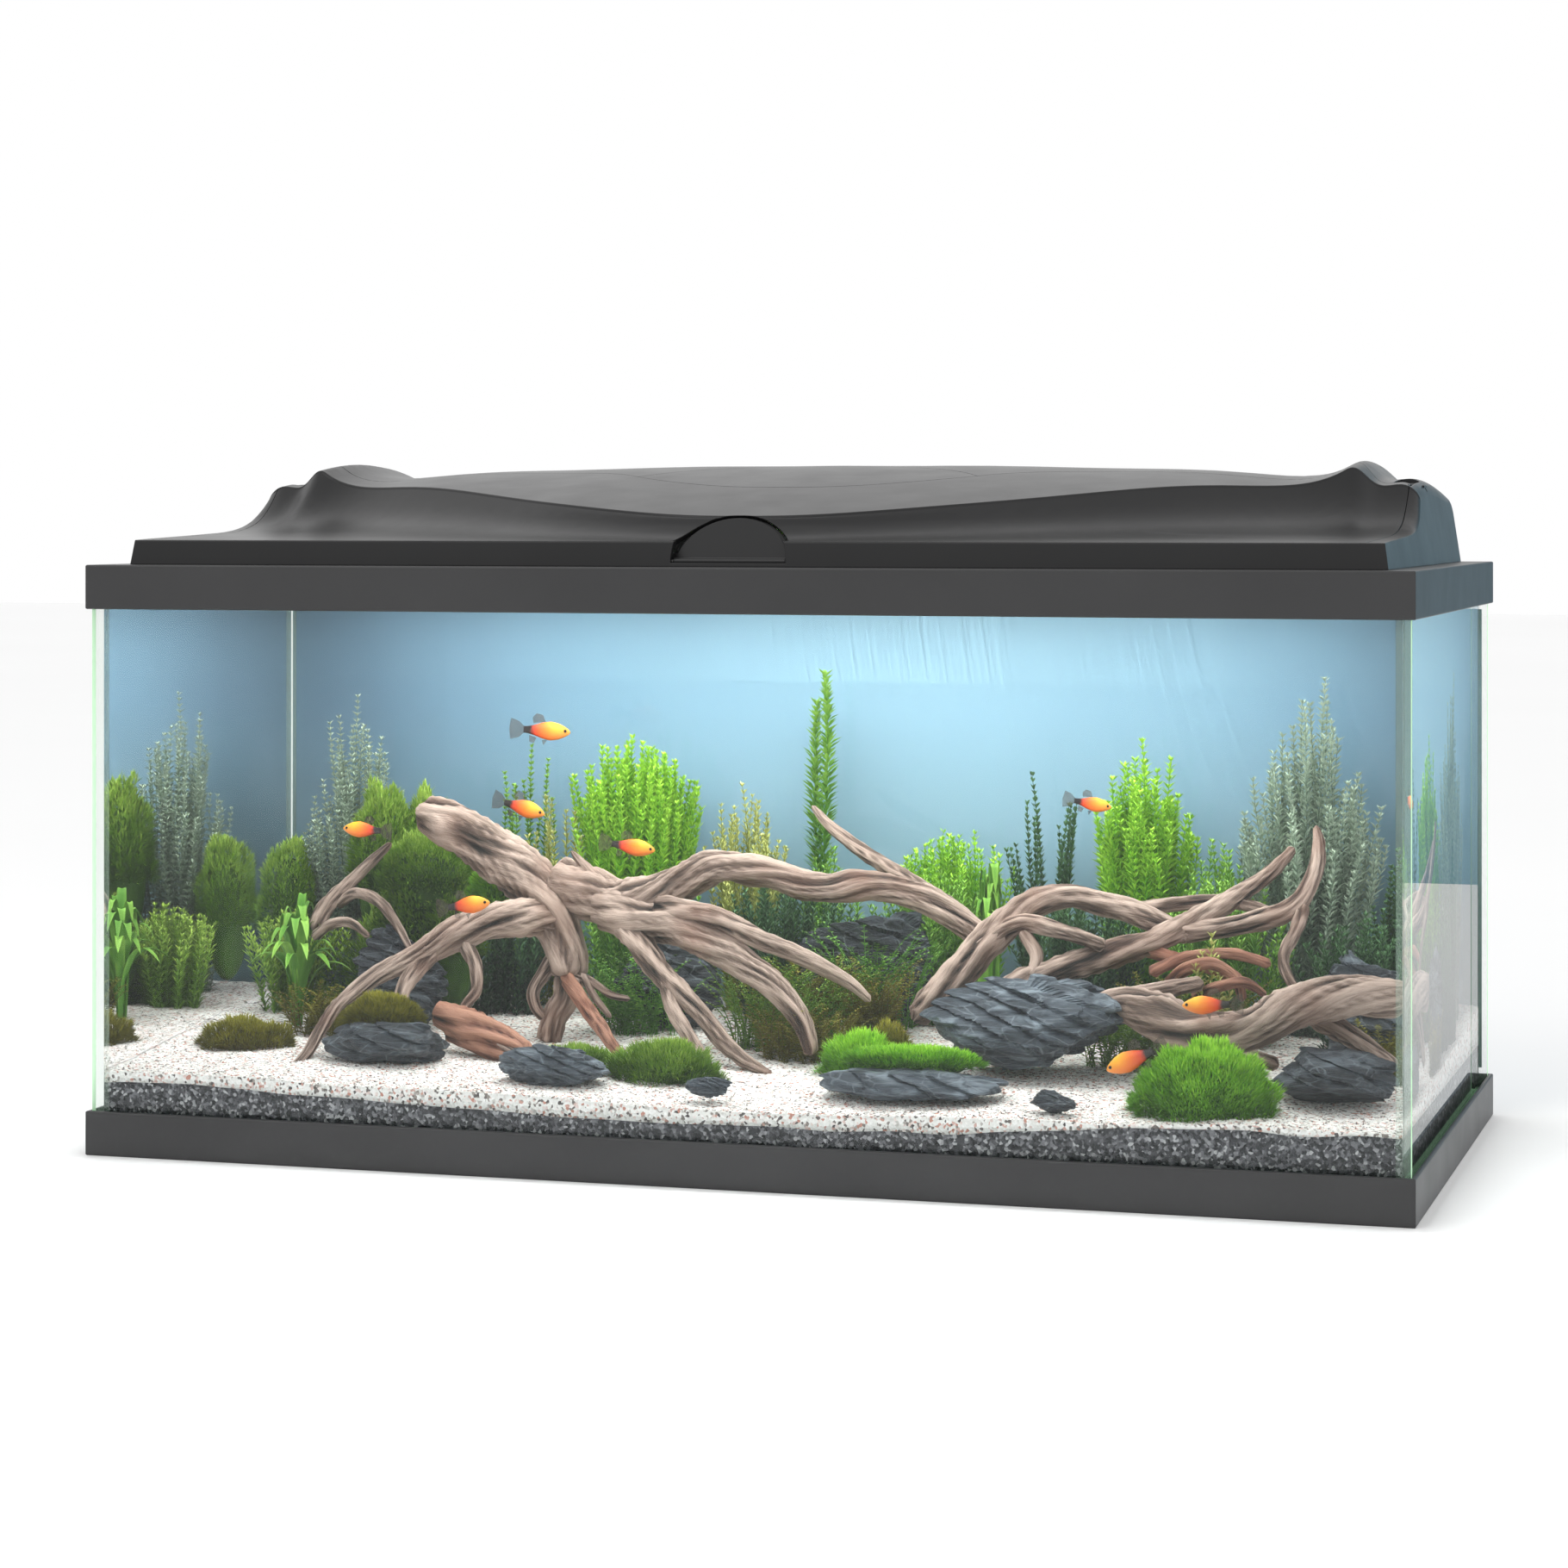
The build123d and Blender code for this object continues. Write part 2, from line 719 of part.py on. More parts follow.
def make_screws(name, places, head_up, length):
    """Identical pan-head screws; each place is the face under the head."""
    direction = 1 if head_up else -1
    with BuildPart() as screws:
        for x, y, z in places:
            with BuildSketch(Plane(origin=(x, y, z), z_dir=(0, 0, direction))):
                Circle(screw_head_radius)
            extrude(amount=screw_head_height)
            with BuildSketch(Plane(origin=(x, y, z), z_dir=(0, 0, -direction))):
                Circle(screw_radius)
            extrude(amount=length)
        crowns = screws.edges().filter_by(GeomType.CIRCLE).group_by(Axis.Z)[-1 if head_up else 0]
        fillet(crowns, 0.6)
    save(screws.part, name)


# --- lamp ----------------------------------------------------------------------------------------
lamp_floor = tank_height + lamp_base_height
lamp_top = lamp_floor + lamp_height


def make_lamp_housing():
    """Upside-down channel, open below."""
    with BuildPart() as housing:
        with BuildSketch(Plane.XY.offset(lamp_floor)):
            with Locations((0, lamp_y)):
                Rectangle(lamp_length, lamp_width)
        extrude(amount=lamp_height)
        with BuildSketch(Plane.XY.offset(lamp_floor)):
            with Locations((0, lamp_y)):
                Rectangle(lamp_length, lamp_width - 2 * lamp_wall)
        extrude(amount=lamp_height - lamp_wall, mode=Mode.SUBTRACT)
        fillet(housing.edges().filter_by(Axis.X).group_by(Axis.Z)[-1], 1.2)
    save(housing.part, "lamp_housing")


def make_lamp_board():
    """Circuit board under the housing's roof, with a row of square light chips."""
    under = lamp_top - lamp_wall - board_thickness
    count = int((lamp_length - 30) / led_pitch)
    with BuildPart() as board:
        with BuildSketch(Plane.XY.offset(under)):
            with Locations((0, lamp_y)):
                Rectangle(lamp_length - 4, lamp_width - 2 * lamp_wall - 4)
        extrude(amount=board_thickness)
        with BuildSketch(Plane.XY.offset(under - led_thickness)):
            with Locations((0, lamp_y)):
                with GridLocations(led_pitch, 20, count, 2):
                    Rectangle(led_size, led_size)
        extrude(amount=led_thickness)
    save(board.part, "lamp_board")


def make_lamp_lens():
    width = lamp_width - 2 * lamp_wall - 0.4
    make_pane("lamp_lens", (0, lamp_y, lamp_floor), (lamp_length - 1, width, lamp_lens_thickness))


def make_lamp_cap(side, name):
    """End cap that closes the channel and hangs it from the hood's end wall."""
    start = side * lamp_length / 2
    limits = sorted((start, start + side * lamp_cap))
    reach = hood_half_length - hood_wall - side_lean * (lamp_base_height + lamp_height) - 2 * lamp_bracket_gap
    arm = sorted((start + side * lamp_cap / 2, side * reach))
    arm_depth = (lamp_y - lamp_arm_width / 2, lamp_y + lamp_arm_width / 2)
    with BuildPart() as cap:
        add(block(limits, (lamp_y - lamp_width / 2, lamp_y + lamp_width / 2), (lamp_floor, lamp_top)))
        add(block(arm, arm_depth, (lamp_top - lamp_arm, lamp_top)))
    save(cap.part, name)


def make_lamp_brackets():
    """Angle brackets on the hood's end walls; the lamp's arms sit on their shelves."""
    wall_x = hood_half_length - hood_wall - side_lean * (lamp_base_height + lamp_height) - lamp_bracket_gap
    shelf_top = lamp_top - lamp_arm
    depth = (lamp_y - lamp_arm_width / 2, lamp_y + lamp_arm_width / 2)
    with BuildPart() as brackets:
        for side in (-1, 1):
            foot = sorted((side * (wall_x - lamp_shelf), side * wall_x))
            upright = sorted((side * (wall_x - bracket_sheet), side * wall_x))
            add(block(foot, depth, (shelf_top - bracket_sheet, shelf_top)))
            add(block(upright, depth, (shelf_top - lamp_height, shelf_top)))
    save(brackets.part, "lamp_brackets")


def make_cable_grommet():
    """Rubber ring in the hood's rear wall; its groove grips the wall."""
    y = hood_half_depth - hood_wall / 2
    spans = [(-hood_wall / 2 - grommet_rim_thickness, grommet_rim_thickness, grommet_rim),
             (-hood_wall / 2, hood_wall, grommet_body),
             (hood_wall / 2, grommet_rim_thickness, grommet_rim)]
    with BuildPart() as grommet:
        for start, length, radius in spans:
            place = (grommet_x, y + start, tank_height + grommet_height)
            with BuildSketch(Plane(origin=place, z_dir=(0, 1, 0))):
                Circle(radius)
                Circle(grommet_hole, mode=Mode.SUBTRACT)
            extrude(amount=length)
    save(grommet.part, "cable_grommet")


def make_hood():
    outer = hood_block(hood_half_length, outer_station)
    inner = hood_block(hood_half_length - hood_wall, inner_station)
    wall = outer - inner
    make_hood_shell(wall)
    make_front_flap(wall)
    make_lens_plate(wall)
    make_flap_pins()
    make_feed_door()
    make_feed_door_pin()


# --- aquascape -----------------------------------------------------------------------------------
def sand_height(y):
    """The sand rises evenly from the front pane to the back pane."""
    return sand_front + (sand_back - sand_front) * (y + inside_y) / (2 * inside_y)


def layer(name, low, tops):
    """A bed that fills the tank from wall to wall; tops are its heights at the front and the back."""
    half_x = inside_x - scape_clearance
    half_y = inside_y - scape_clearance
    with BuildPart() as bed:
        with BuildSketch(Plane(origin=(-half_x, 0, 0), x_dir=(0, 1, 0), z_dir=(1, 0, 0))):
            with BuildLine():
                Polyline((-half_y, low), (half_y, low), (half_y, tops[1]), (-half_y, tops[0]), close=True)
            make_face()
        extrude(amount=2 * half_x)
        chamfer(bed.edges().filter_by(Axis.Z), silicone_leg + silicone_gap + 1)
    save(bed.part, name)


def make_beds():
    floor = pane_bottom + silicone_leg + scape_clearance
    gravel_top = floor + gravel_depth
    layer("gravel_dark", floor, (gravel_top, gravel_top))
    layer("sand_white", gravel_top + scape_clearance, (sand_front, sand_back))


rocks = {
    # name: (x, y, length, width, height)
    "rock_round_left": (-114, -148, 74, 50, 21),
    "rock_pebble_centre": (-10, -172, 30, 18, 10),
    "rock_flat_front": (112, -148, 124, 56, 17),
    "rock_pebble_right": (196, -174, 32, 18, 12),
    "rock_layered": (160, -62, 130, 84, 62),
    "rock_right": (348, -112, 76, 66, 34),
    "rock_left": (-232, -110, 92, 66, 26),
    "rock_back_left": (-262, 14, 66, 52, 66),
    "rock_behind_trunk": (-96, 62, 84, 56, 54),
    "rock_dark_centre": (40, 92, 108, 50, 84),
    "rock_back_right": (352, 8, 62, 60, 72),
}


def make_rock(name, place):
    """A boulder with a flat foot, a fuller waist and a small crown."""
    x, y, length, width, height = place
    foot = sand_height(y + width / 2) + scape_clearance
    outline = [(0.5, 0.06), (0.3, 0.44), (-0.1, 0.5), (-0.42, 0.3), (-0.5, -0.1), (-0.26, -0.46), (0.16, -0.5),
               (0.44, -0.28)]
    with BuildPart() as rock:
        for rise, scale in ((0.0, 0.92), (0.35, 1.0), (0.75, 0.8), (1.0, 0.42)):
            points = [(px * length * scale, py * width * scale) for px, py in outline]
            with BuildSketch(Plane(origin=(x, y, foot + rise * height))):
                with BuildLine():
                    Polyline(*points, close=True)
                make_face()
        loft(ruled=True)
    save(rock.part, name)


driftwood = {
    # name: limbs, each a list of (x, y, z, radius)
    "driftwood_stump": [
        [(-236, 4, 196, 13), (-200, 2, 178, 15), (-168, 0, 156, 16), (-150, -4, 128, 14), (-146, -8, 100, 12),
         (-152, -12, 74, 10)],
        [(-150, 0, 150, 14), (-110, -6, 150, 12), (-84, -8, 156, 10), (-46, -4, 172, 9), (-8, 0, 168, 8),
         (30, 4, 160, 8), (76, 4, 158, 7)],
        [(-100, -10, 150, 10), (-62, -24, 136, 9), (-28, -44, 122, 8), (2, -62, 100, 7), (22, -70, 72, 5)],
        [(-100, -10, 150, 9), (-80, -36, 116, 8), (-58, -52, 94, 6), (-30, -70, 70, 5)],
        [(-150, -4, 134, 9), (-190, -36, 132, 8), (-220, -46, 120, 7), (-262, -60, 92, 5)],
    ],
    "driftwood_right": [
        [(94, -4, 92, 8), (122, 4, 124, 8), (156, 14, 156, 7), (204, 24, 152, 6), (240, 24, 142, 6)],
        [(150, 14, 108, 7), (186, 24, 124, 7), (232, 36, 140, 6), (272, 46, 160, 5), (306, 56, 186, 4)],
    ],
    "driftwood_front_right": [
        [(216, -128, 80, 7), (244, -98, 92, 9), (292, -64, 100, 10), (332, -52, 112, 10), (378, -58, 112, 9)],
    ],
}


def make_driftwood(name, limbs):
    """Tapered limbs joined by round knots."""
    with BuildPart() as wood:
        for limb in limbs:
            for (x1, y1, z1, r1), (x2, y2, z2, r2) in zip(limb, limb[1:]):
                start = Vector(x1, y1, z1 + wood_lift)
                along = Vector(x2, y2, z2 + wood_lift) - start
                end_radius = r2 if r2 != r1 else 0.98 * r1
                with Locations(Plane(origin=start + along * 0.5, z_dir=along)):
                    Cone(bottom_radius=r1, top_radius=end_radius, height=along.length)
            for x, y, z, radius in limb[1:-1]:
                with Locations((x, y, z + wood_lift)):
                    Sphere(radius * 1.02)
    save(wood.part, name)


plants = {
    # name: (x, y, radius along x, radius along y, height above the sand)
    "plant_pale_tall_left": (-330, 138, 42, 32, 208),
    "plant_bush_left": (-268, 92, 26, 22, 128),
    "plant_sword_left": (-332, 14, 34, 34, 84),
    "plant_thin_stems": (-214, 150, 26, 22, 194),
    "plant_bright_bush": (-134, 138, 44, 34, 178),
    "plant_pale_centre": (-60, 142, 26, 26, 160),
    "plant_spire": (-8, 158, 14, 14, 218),
    "plant_low_bush": (66, 156, 30, 22, 118),
    "plant_sword_right": (112, 84, 18, 24, 112),
    "plant_dark_stems": (136, 152, 26, 24, 190),
    "plant_feathery": (202, 138, 34, 34, 184),
    "plant_grey_tall": (306, 134, 50, 36, 226),
    "plant_right_corner": (366, 74, 18, 22, 128),
    "plant_ferns_centre": (52, 14, 24, 30, 70),
    "moss_front_bush": (278, -152, 44, 30, 38),
    "moss_carpet_left": (-52, -118, 36, 22, 16),
    "moss_carpet_right": (64, -84, 26, 24, 22),
}


def make_plant(name, place):
    """A soft clump: an oval foot, a fuller waist and a narrow crown."""
    x, y, half_x, half_y, height = place
    foot = sand_height(y + half_y) + scape_clearance
    with BuildPart() as plant:
        for rise, scale in ((0.0, 0.7), (0.35, 1.0), (0.75, 0.8), (1.0, 0.3)):
            with BuildSketch(Plane(origin=(x, y, foot + rise * height))):
                Ellipse(half_x * scale, half_y * scale)
        loft()
    save(plant.part, name)


def make_aquascape():
    make_beds()
    for name, place in rocks.items():
        make_rock(name, place)
    for name, limbs in driftwood.items():
        make_driftwood(name, limbs)
    for name, place in plants.items():
        make_plant(name, place)


make_bottom_frame()
make_top_frame()
make_glass()
make_corner_silicone()
make_floor_silicone()
make_background_film()
make_hood()
make_hinge_brackets()
make_hinge_pins()
make_screws("bracket_screws",
            [(x, y, z + hinge_base_thickness) for x, y, z in bracket_screw_places()], True,
            hinge_base_thickness + flange_thickness)
make_lamp_housing()
make_lamp_board()
make_lamp_lens()
make_lamp_cap(-1, "lamp_cap_left")
make_lamp_cap(1, "lamp_cap_right")
make_lamp_brackets()
make_cable_grommet()
make_aquascape()
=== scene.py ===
"""The aquarium's looks: trim and hood finishes, glass, water, sand, slate, driftwood, plants and fish."""
import math

import bmesh
import bpy
import numpy as np
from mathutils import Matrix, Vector


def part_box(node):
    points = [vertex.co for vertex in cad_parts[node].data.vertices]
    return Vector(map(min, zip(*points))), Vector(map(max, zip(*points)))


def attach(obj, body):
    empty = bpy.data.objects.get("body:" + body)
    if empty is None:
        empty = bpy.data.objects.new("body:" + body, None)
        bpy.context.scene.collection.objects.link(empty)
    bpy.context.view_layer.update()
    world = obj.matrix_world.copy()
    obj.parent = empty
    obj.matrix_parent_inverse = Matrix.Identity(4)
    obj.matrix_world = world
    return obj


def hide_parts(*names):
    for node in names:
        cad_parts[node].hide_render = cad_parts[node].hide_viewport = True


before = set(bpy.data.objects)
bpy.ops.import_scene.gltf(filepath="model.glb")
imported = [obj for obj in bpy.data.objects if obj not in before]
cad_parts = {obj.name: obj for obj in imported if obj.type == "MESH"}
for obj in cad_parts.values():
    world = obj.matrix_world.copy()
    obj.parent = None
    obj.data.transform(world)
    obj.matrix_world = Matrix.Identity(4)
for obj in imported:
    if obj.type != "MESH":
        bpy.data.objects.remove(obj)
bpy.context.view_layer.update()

MM = 0.001


# --- numbers: noise and shapes -----------------------------------------------------------
def lattice(ix, iy, iz, seed):
    """A repeatable number from -1 to 1 for each lattice corner."""
    h = (ix * 374761393 + iy * 668265263 + iz * 1442695041 + seed * 974634777) & 0xFFFFFFFF
    h = ((h ^ (h >> 13)) * 1274126177) & 0xFFFFFFFF
    return ((h ^ (h >> 16)) & 0xFFFF) / 32767.5 - 1.0


def noise(points, seed=0):
    """Smooth value noise from -1 to 1 at each row of points."""
    points = np.asarray(points, dtype=float)
    cell = np.floor(points).astype(np.int64)
    f = points - cell
    f = f * f * (3 - 2 * f)
    total = np.zeros(len(points))
    for dx in (0, 1):
        for dy in (0, 1):
            for dz in (0, 1):
                weight = (f[:, 0] if dx else 1 - f[:, 0]) * (f[:, 1] if dy else 1 - f[:, 1])
                weight = weight * (f[:, 2] if dz else 1 - f[:, 2])
                total += weight * lattice(cell[:, 0] + dx, cell[:, 1] + dy, cell[:, 2] + dz, seed)
    return total


def layered_noise(points, octaves=4, seed=0):
    total = np.zeros(len(points))
    for octave in range(octaves):
        total += noise(np.asarray(points) * 2 ** octave, seed + octave) / 2 ** octave
    return total / 2


def unit(vectors):
    return vectors / np.maximum(np.linalg.norm(vectors, axis=-1, keepdims=True), 1e-9)


def smooth_path(points, step):
    """Catmull-Rom curve through rows of (x, y, z, radius), sampled about every step."""
    points = np.asarray(points, dtype=float)
    ends = [2 * points[0] - points[1], *points, 2 * points[-1] - points[-2]]
    rows = []
    for a, b, c, d in zip(ends, ends[1:], ends[2:], ends[3:]):
        count = max(int(np.linalg.norm((c - b)[:3]) / step), 1)
        for t in np.arange(count) / count:
            rows.append(0.5 * (2 * b + (c - a) * t + (2 * a - 5 * b + 4 * c - d) * t ** 2
                               + (3 * b - a - 3 * c + d) * t ** 3))
    rows.append(points[-1])
    return np.array(rows)


# --- meshes --------------------------------------------------------------------------------
def make_piece(name, verts, faces, materials, body="tank", replaces=(), slot=None, smooth=True,
               numbers=None, face_materials=None):
    """A mesh piece in metres from vertices in millimetres; numbers are named per-vertex values."""
    mesh = bpy.data.meshes.new(name)
    verts = np.asarray(verts, dtype=float) * MM
    if isinstance(faces, np.ndarray):
        faces = faces.tolist()
    mesh.from_pydata(verts.tolist(), [], faces)
    for material in materials:
        mesh.materials.append(material)
    mesh.polygons.foreach_set("use_smooth", [smooth] * len(mesh.polygons))
    if face_materials is not None:
        mesh.polygons.foreach_set("material_index", face_materials)
    for key, values in (numbers or {}).items():
        layer = mesh.attributes.new(key, "FLOAT", "POINT")
        layer.data.foreach_set("value", np.asarray(values, dtype=np.float32))
    mesh.update()
    piece = bpy.data.objects.new(name, mesh)
    bpy.context.scene.collection.objects.link(piece)
    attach(piece, body)
    if replaces:
        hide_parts(*replaces)
    return piece


class Gather:
    """Collects vertices, faces and named values of many small shapes for one mesh."""

    def __init__(self):
        self.verts, self.faces, self.numbers, self.marks, self.count = [], [], {}, [], 0

    def add(self, verts, faces, mark=0, **numbers):
        verts = np.asarray(verts, dtype=float)
        self.verts.append(verts)
        self.faces += (np.asarray(faces) + self.count).tolist()
        self.marks += [mark] * len(faces)
        for key, values in numbers.items():
            self.numbers.setdefault(key, []).append(np.broadcast_to(values, (len(verts),)))
        self.count += len(verts)

    def piece(self, name, materials, **choices):
        numbers = {key: np.concatenate(values) for key, values in self.numbers.items()}
        return make_piece(name, np.concatenate(self.verts), self.faces, materials, numbers=numbers,
                          face_materials=self.marks, **choices)


def grid_faces(rows, columns, wrap=False):
    """Quads of a rows by columns vertex grid; wrap closes each row into a ring."""
    last = columns if wrap else columns - 1
    i, j = np.meshgrid(np.arange(rows - 1), np.arange(last), indexing="ij")
    k = (j + 1) % columns
    return np.stack([i * columns + j, i * columns + k, (i + 1) * columns + k, (i + 1) * columns + j],
                    axis=-1).reshape(-1, 4)


def ring_frames(path):
    """Two directions across each point of a path, carried along without twist."""
    tangents = unit(np.gradient(path, axis=0))
    across = np.zeros_like(path)
    start = np.cross(tangents[0], (0.3, 0.9, 0.4))
    across[0] = unit(start)
    for i in range(1, len(path)):
        side = across[i - 1] - tangents[i] * np.dot(across[i - 1], tangents[i])
        across[i] = unit(side)
    return across, np.cross(tangents, across)


def leaves(gather, base, direction, length, width, tint, droop=0.15):
    """Folded diamond blades, one for each row of base and direction."""
    count = len(base)
    direction = unit(direction)
    side = unit(np.cross(direction, (0.03, 0.02, 1.0)))
    length = np.broadcast_to(length, (count,))[:, None]
    width = np.broadcast_to(width, (count,))[:, None]
    sag = np.array((0, 0, -1.0)) * length * droop
    middle = base + direction * length * 0.45 - sag * 0.35
    verts = np.stack([base, middle + side * width / 2, base + direction * length + sag,
                      middle - side * width / 2], axis=1).reshape(-1, 3)
    faces = np.arange(4 * count).reshape(-1, 4)
    gather.add(verts, faces, tint=np.repeat(tint, 4), shade=np.tile((0.0, 0.6, 1.0, 0.6), count))


# --- materials -------------------------------------------------------------------------------
def start_material(name):
    material = bpy.data.materials.new(name)
    material.use_nodes = True
    tree = material.node_tree
    shader = next(n for n in tree.nodes if n.type == "BSDF_PRINCIPLED")
    return material, tree, shader


def node(tree, kind, settings=None, **inputs):
    """A new node; settings are its own properties and inputs its socket values or links."""
    made = tree.nodes.new("ShaderNode" + kind)
    for key, value in (settings or {}).items():
        setattr(made, key, value)
    for key, value in inputs.items():
        socket = made.inputs[int(key[1:])] if key[0] == "i" and key[1:].isdigit() else made.inputs[key]
        if isinstance(value, bpy.types.NodeSocket):
            tree.links.new(value, socket)
        else:
            socket.default_value = value
    return made


def ramp(tree, factor, stops):
    made = node(tree, "ValToRGB")
    tree.links.new(factor, made.inputs["Fac"])
    elements = made.color_ramp.elements
    while len(elements) < len(stops):
        elements.new(0.5)
    for element, (place, color) in zip(elements, stops):
        element.position = place
        element.color = (*color, 1)
    return made.outputs["Color"]


def bump(tree, shader, height, strength, distance, normal=None):
    made = node(tree, "Bump", Strength=strength, Distance=distance, Height=height)
    if normal:
        tree.links.new(normal, made.inputs["Normal"])
    tree.links.new(made.outputs["Normal"], shader.inputs["Normal"])


def object_point(tree, scale=(1, 1, 1)):
    place = node(tree, "TexCoord")
    moved = node(tree, "Mapping", Vector=place.outputs["Object"], Scale=scale)
    return moved.outputs["Vector"]


def noise_value(tree, vector, scale, detail=4, roughness=0.55, distortion=0.0):
    made = node(tree, "TexNoise", Vector=vector, Scale=scale, Detail=detail, Roughness=roughness,
                Distortion=distortion)
    return made.outputs["Fac"]


def math_node(tree, operation, first, second=0.0):
    return node(tree, "Math", {"operation": operation}, i0=first, i1=second).outputs[0]


def mixed(tree, factor, first, second):
    made = node(tree, "Mix", {"data_type": "RGBA"})
    tree.links.new(factor, made.inputs[0])
    for socket, value in ((made.inputs[6], first), (made.inputs[7], second)):
        if isinstance(value, bpy.types.NodeSocket):
            tree.links.new(value, socket)
        else:
            socket.default_value = (*value, 1)
    return made.outputs[2]


def plastic(name, dark, light, roughness, grain=0.02, alpha=1.0, specular=0.5):
    """Satin moulded plastic: faint cloudiness, a fine sandy grain and uneven gloss."""
    material, tree, shader = start_material(name)
    point = object_point(tree)
    cloud = noise_value(tree, point, 9)
    grainy = noise_value(tree, point, 1400, 2)
    tree.links.new(ramp(tree, cloud, [(0.3, dark), (0.7, light)]), shader.inputs["Base Color"])
    gloss = node(tree, "MapRange", i0=noise_value(tree, point, 30), i3=roughness - 0.04, i4=roughness + 0.06)
    tree.links.new(gloss.outputs[0], shader.inputs["Roughness"])
    soft_edge = node(tree, "Bevel", {"samples": 4}, Radius=0.0009)
    bump(tree, shader, grainy, grain, 0.0004, soft_edge.outputs["Normal"])
    shader.inputs["Alpha"].default_value = alpha
    shader.inputs["Specular IOR Level"].default_value = specular
    return material


def metal(name, color, roughness):
    material, tree, shader = start_material(name)
    point = object_point(tree, (30, 1200, 1200))
    streak = noise_value(tree, point, 1.0)
    dark = tuple(0.8 * c for c in color)
    tree.links.new(ramp(tree, streak, [(0.35, dark), (0.65, color)]), shader.inputs["Base Color"])
    shader.inputs["Metallic"].default_value = 1.0
    shader.inputs["Roughness"].default_value = roughness
    bump(tree, shader, streak, 0.08, 0.0002)
    return material


def pane_glass(name, axis, edge_alpha):
    """Clear sheet with green-tinted cut edges that also glow faintly green as painted light; axis is the
    direction across the sheet.
    """
    material, tree, shader = start_material(name)
    place = node(tree, "TexCoord")
    parts = node(tree, "SeparateXYZ", Vector=place.outputs["Normal"])
    facing = math_node(tree, "ABSOLUTE", parts.outputs[axis])
    edge = math_node(tree, "LESS_THAN", facing, 0.5)
    smear = noise_value(tree, object_point(tree), 6)
    body = ramp(tree, smear, [(0.3, (0.75, 0.9, 0.84)), (0.7, (0.8, 0.94, 0.9))])
    tree.links.new(mixed(tree, edge, body, (0.52, 0.78, 0.52)), shader.inputs["Base Color"])
    alpha = node(tree, "MapRange", i0=edge, i3=0.005, i4=edge_alpha)
    tree.links.new(alpha.outputs[0], shader.inputs["Alpha"])
    shader.inputs["Roughness"].default_value = 0.04
    shader.inputs["Specular IOR Level"].default_value = 0.0
    shader.inputs["Emission Color"].default_value = (0.45, 0.8, 0.5, 1)
    # Painted light: the cut edges glow green through emission, though the glass is no lamp.
    painted_edge_glow = node(tree, "MapRange", i0=edge, i3=0.0, i4=0.25)
    tree.links.new(painted_edge_glow.outputs[0], shader.inputs["Emission Strength"])
    return material


def water_material():
    """Refracting water that lets the lamp's light straight through to the bottom."""
    material, tree, shader = start_material("water")
    point = object_point(tree)
    tint = ramp(tree, noise_value(tree, point, 3), [(0.3, (0.955, 0.99, 1.0)), (0.7, (0.97, 1.0, 1.0))])
    tree.links.new(tint, shader.inputs["Base Color"])
    shader.inputs["Transmission Weight"].default_value = 1.0
    shader.inputs["IOR"].default_value = 1.333
    shader.inputs["Roughness"].default_value = 0.0
    clear = node(tree, "BsdfTransparent", Color=(0.96, 0.99, 1.0, 1))
    path = node(tree, "LightPath")
    straight = math_node(tree, "MAXIMUM", path.outputs["Is Shadow Ray"], path.outputs["Is Diffuse Ray"])
    mix = node(tree, "MixShader", i0=straight, i1=shader.outputs[0], i2=clear.outputs[0])
    output = next(n for n in tree.nodes if n.type == "OUTPUT_MATERIAL")
    tree.links.new(mix.outputs[0], output.inputs["Surface"])
    return material


def film_material():
    """Pale blue backdrop with a painted pool of lamp light: brightest in the upper middle, with painted shade
    darkening it to the sides and to a grey-green towards the bottom.
    """
    material, tree, shader = start_material("blue_film")
    place = node(tree, "TexCoord")
    parts = node(tree, "SeparateXYZ", Vector=place.outputs["Object"])
    # Painted light: the colour darkens away from the middle, as if the lamp above lit the middle most.
    across = math_node(tree, "ABSOLUTE", math_node(tree, "SUBTRACT", parts.outputs[0], 0.06))
    painted_side_falloff = math_node(tree, "POWER", math_node(tree, "DIVIDE", across, 0.42), 1.6)
    cloud = noise_value(tree, place.outputs["Object"], 3.0)
    painted_falloff_and_cloud = math_node(tree, "ADD", painted_side_falloff, math_node(tree, "MULTIPLY", cloud, 0.2))
    color = ramp(tree, painted_falloff_and_cloud, [(0.1, (0.40, 0.64, 0.80)), (0.5, (0.31, 0.53, 0.70)),
                                (1.0, (0.21, 0.36, 0.50))])
    # Painted shade: the lower part turns a darker grey-green.
    low = node(tree, "MapRange", i0=parts.outputs[2], i1=0.10, i2=0.26, i3=0.75, i4=0.0)
    color = mixed(tree, low.outputs[0], color, (0.28, 0.44, 0.47))
    tree.links.new(color, shader.inputs["Base Color"])
    shader.inputs["Roughness"].default_value = 0.8
    return material


def grain_material(name, stops, scale, roughness=0.85):
    """Loose grains: every cell has its own colour, with a bump of the same cells."""
    material, tree, shader = start_material(name)
    point = object_point(tree)
    cells = node(tree, "TexVoronoi", Vector=point, Scale=scale, Randomness=1.0)
    value = node(tree, "SeparateColor", Color=cells.outputs["Color"])
    tree.links.new(ramp(tree, value.outputs[0], stops), shader.inputs["Base Color"])
    shader.inputs["Roughness"].default_value = roughness
    bump(tree, shader, cells.outputs["Distance"], 0.9, 0.0009)
    return material


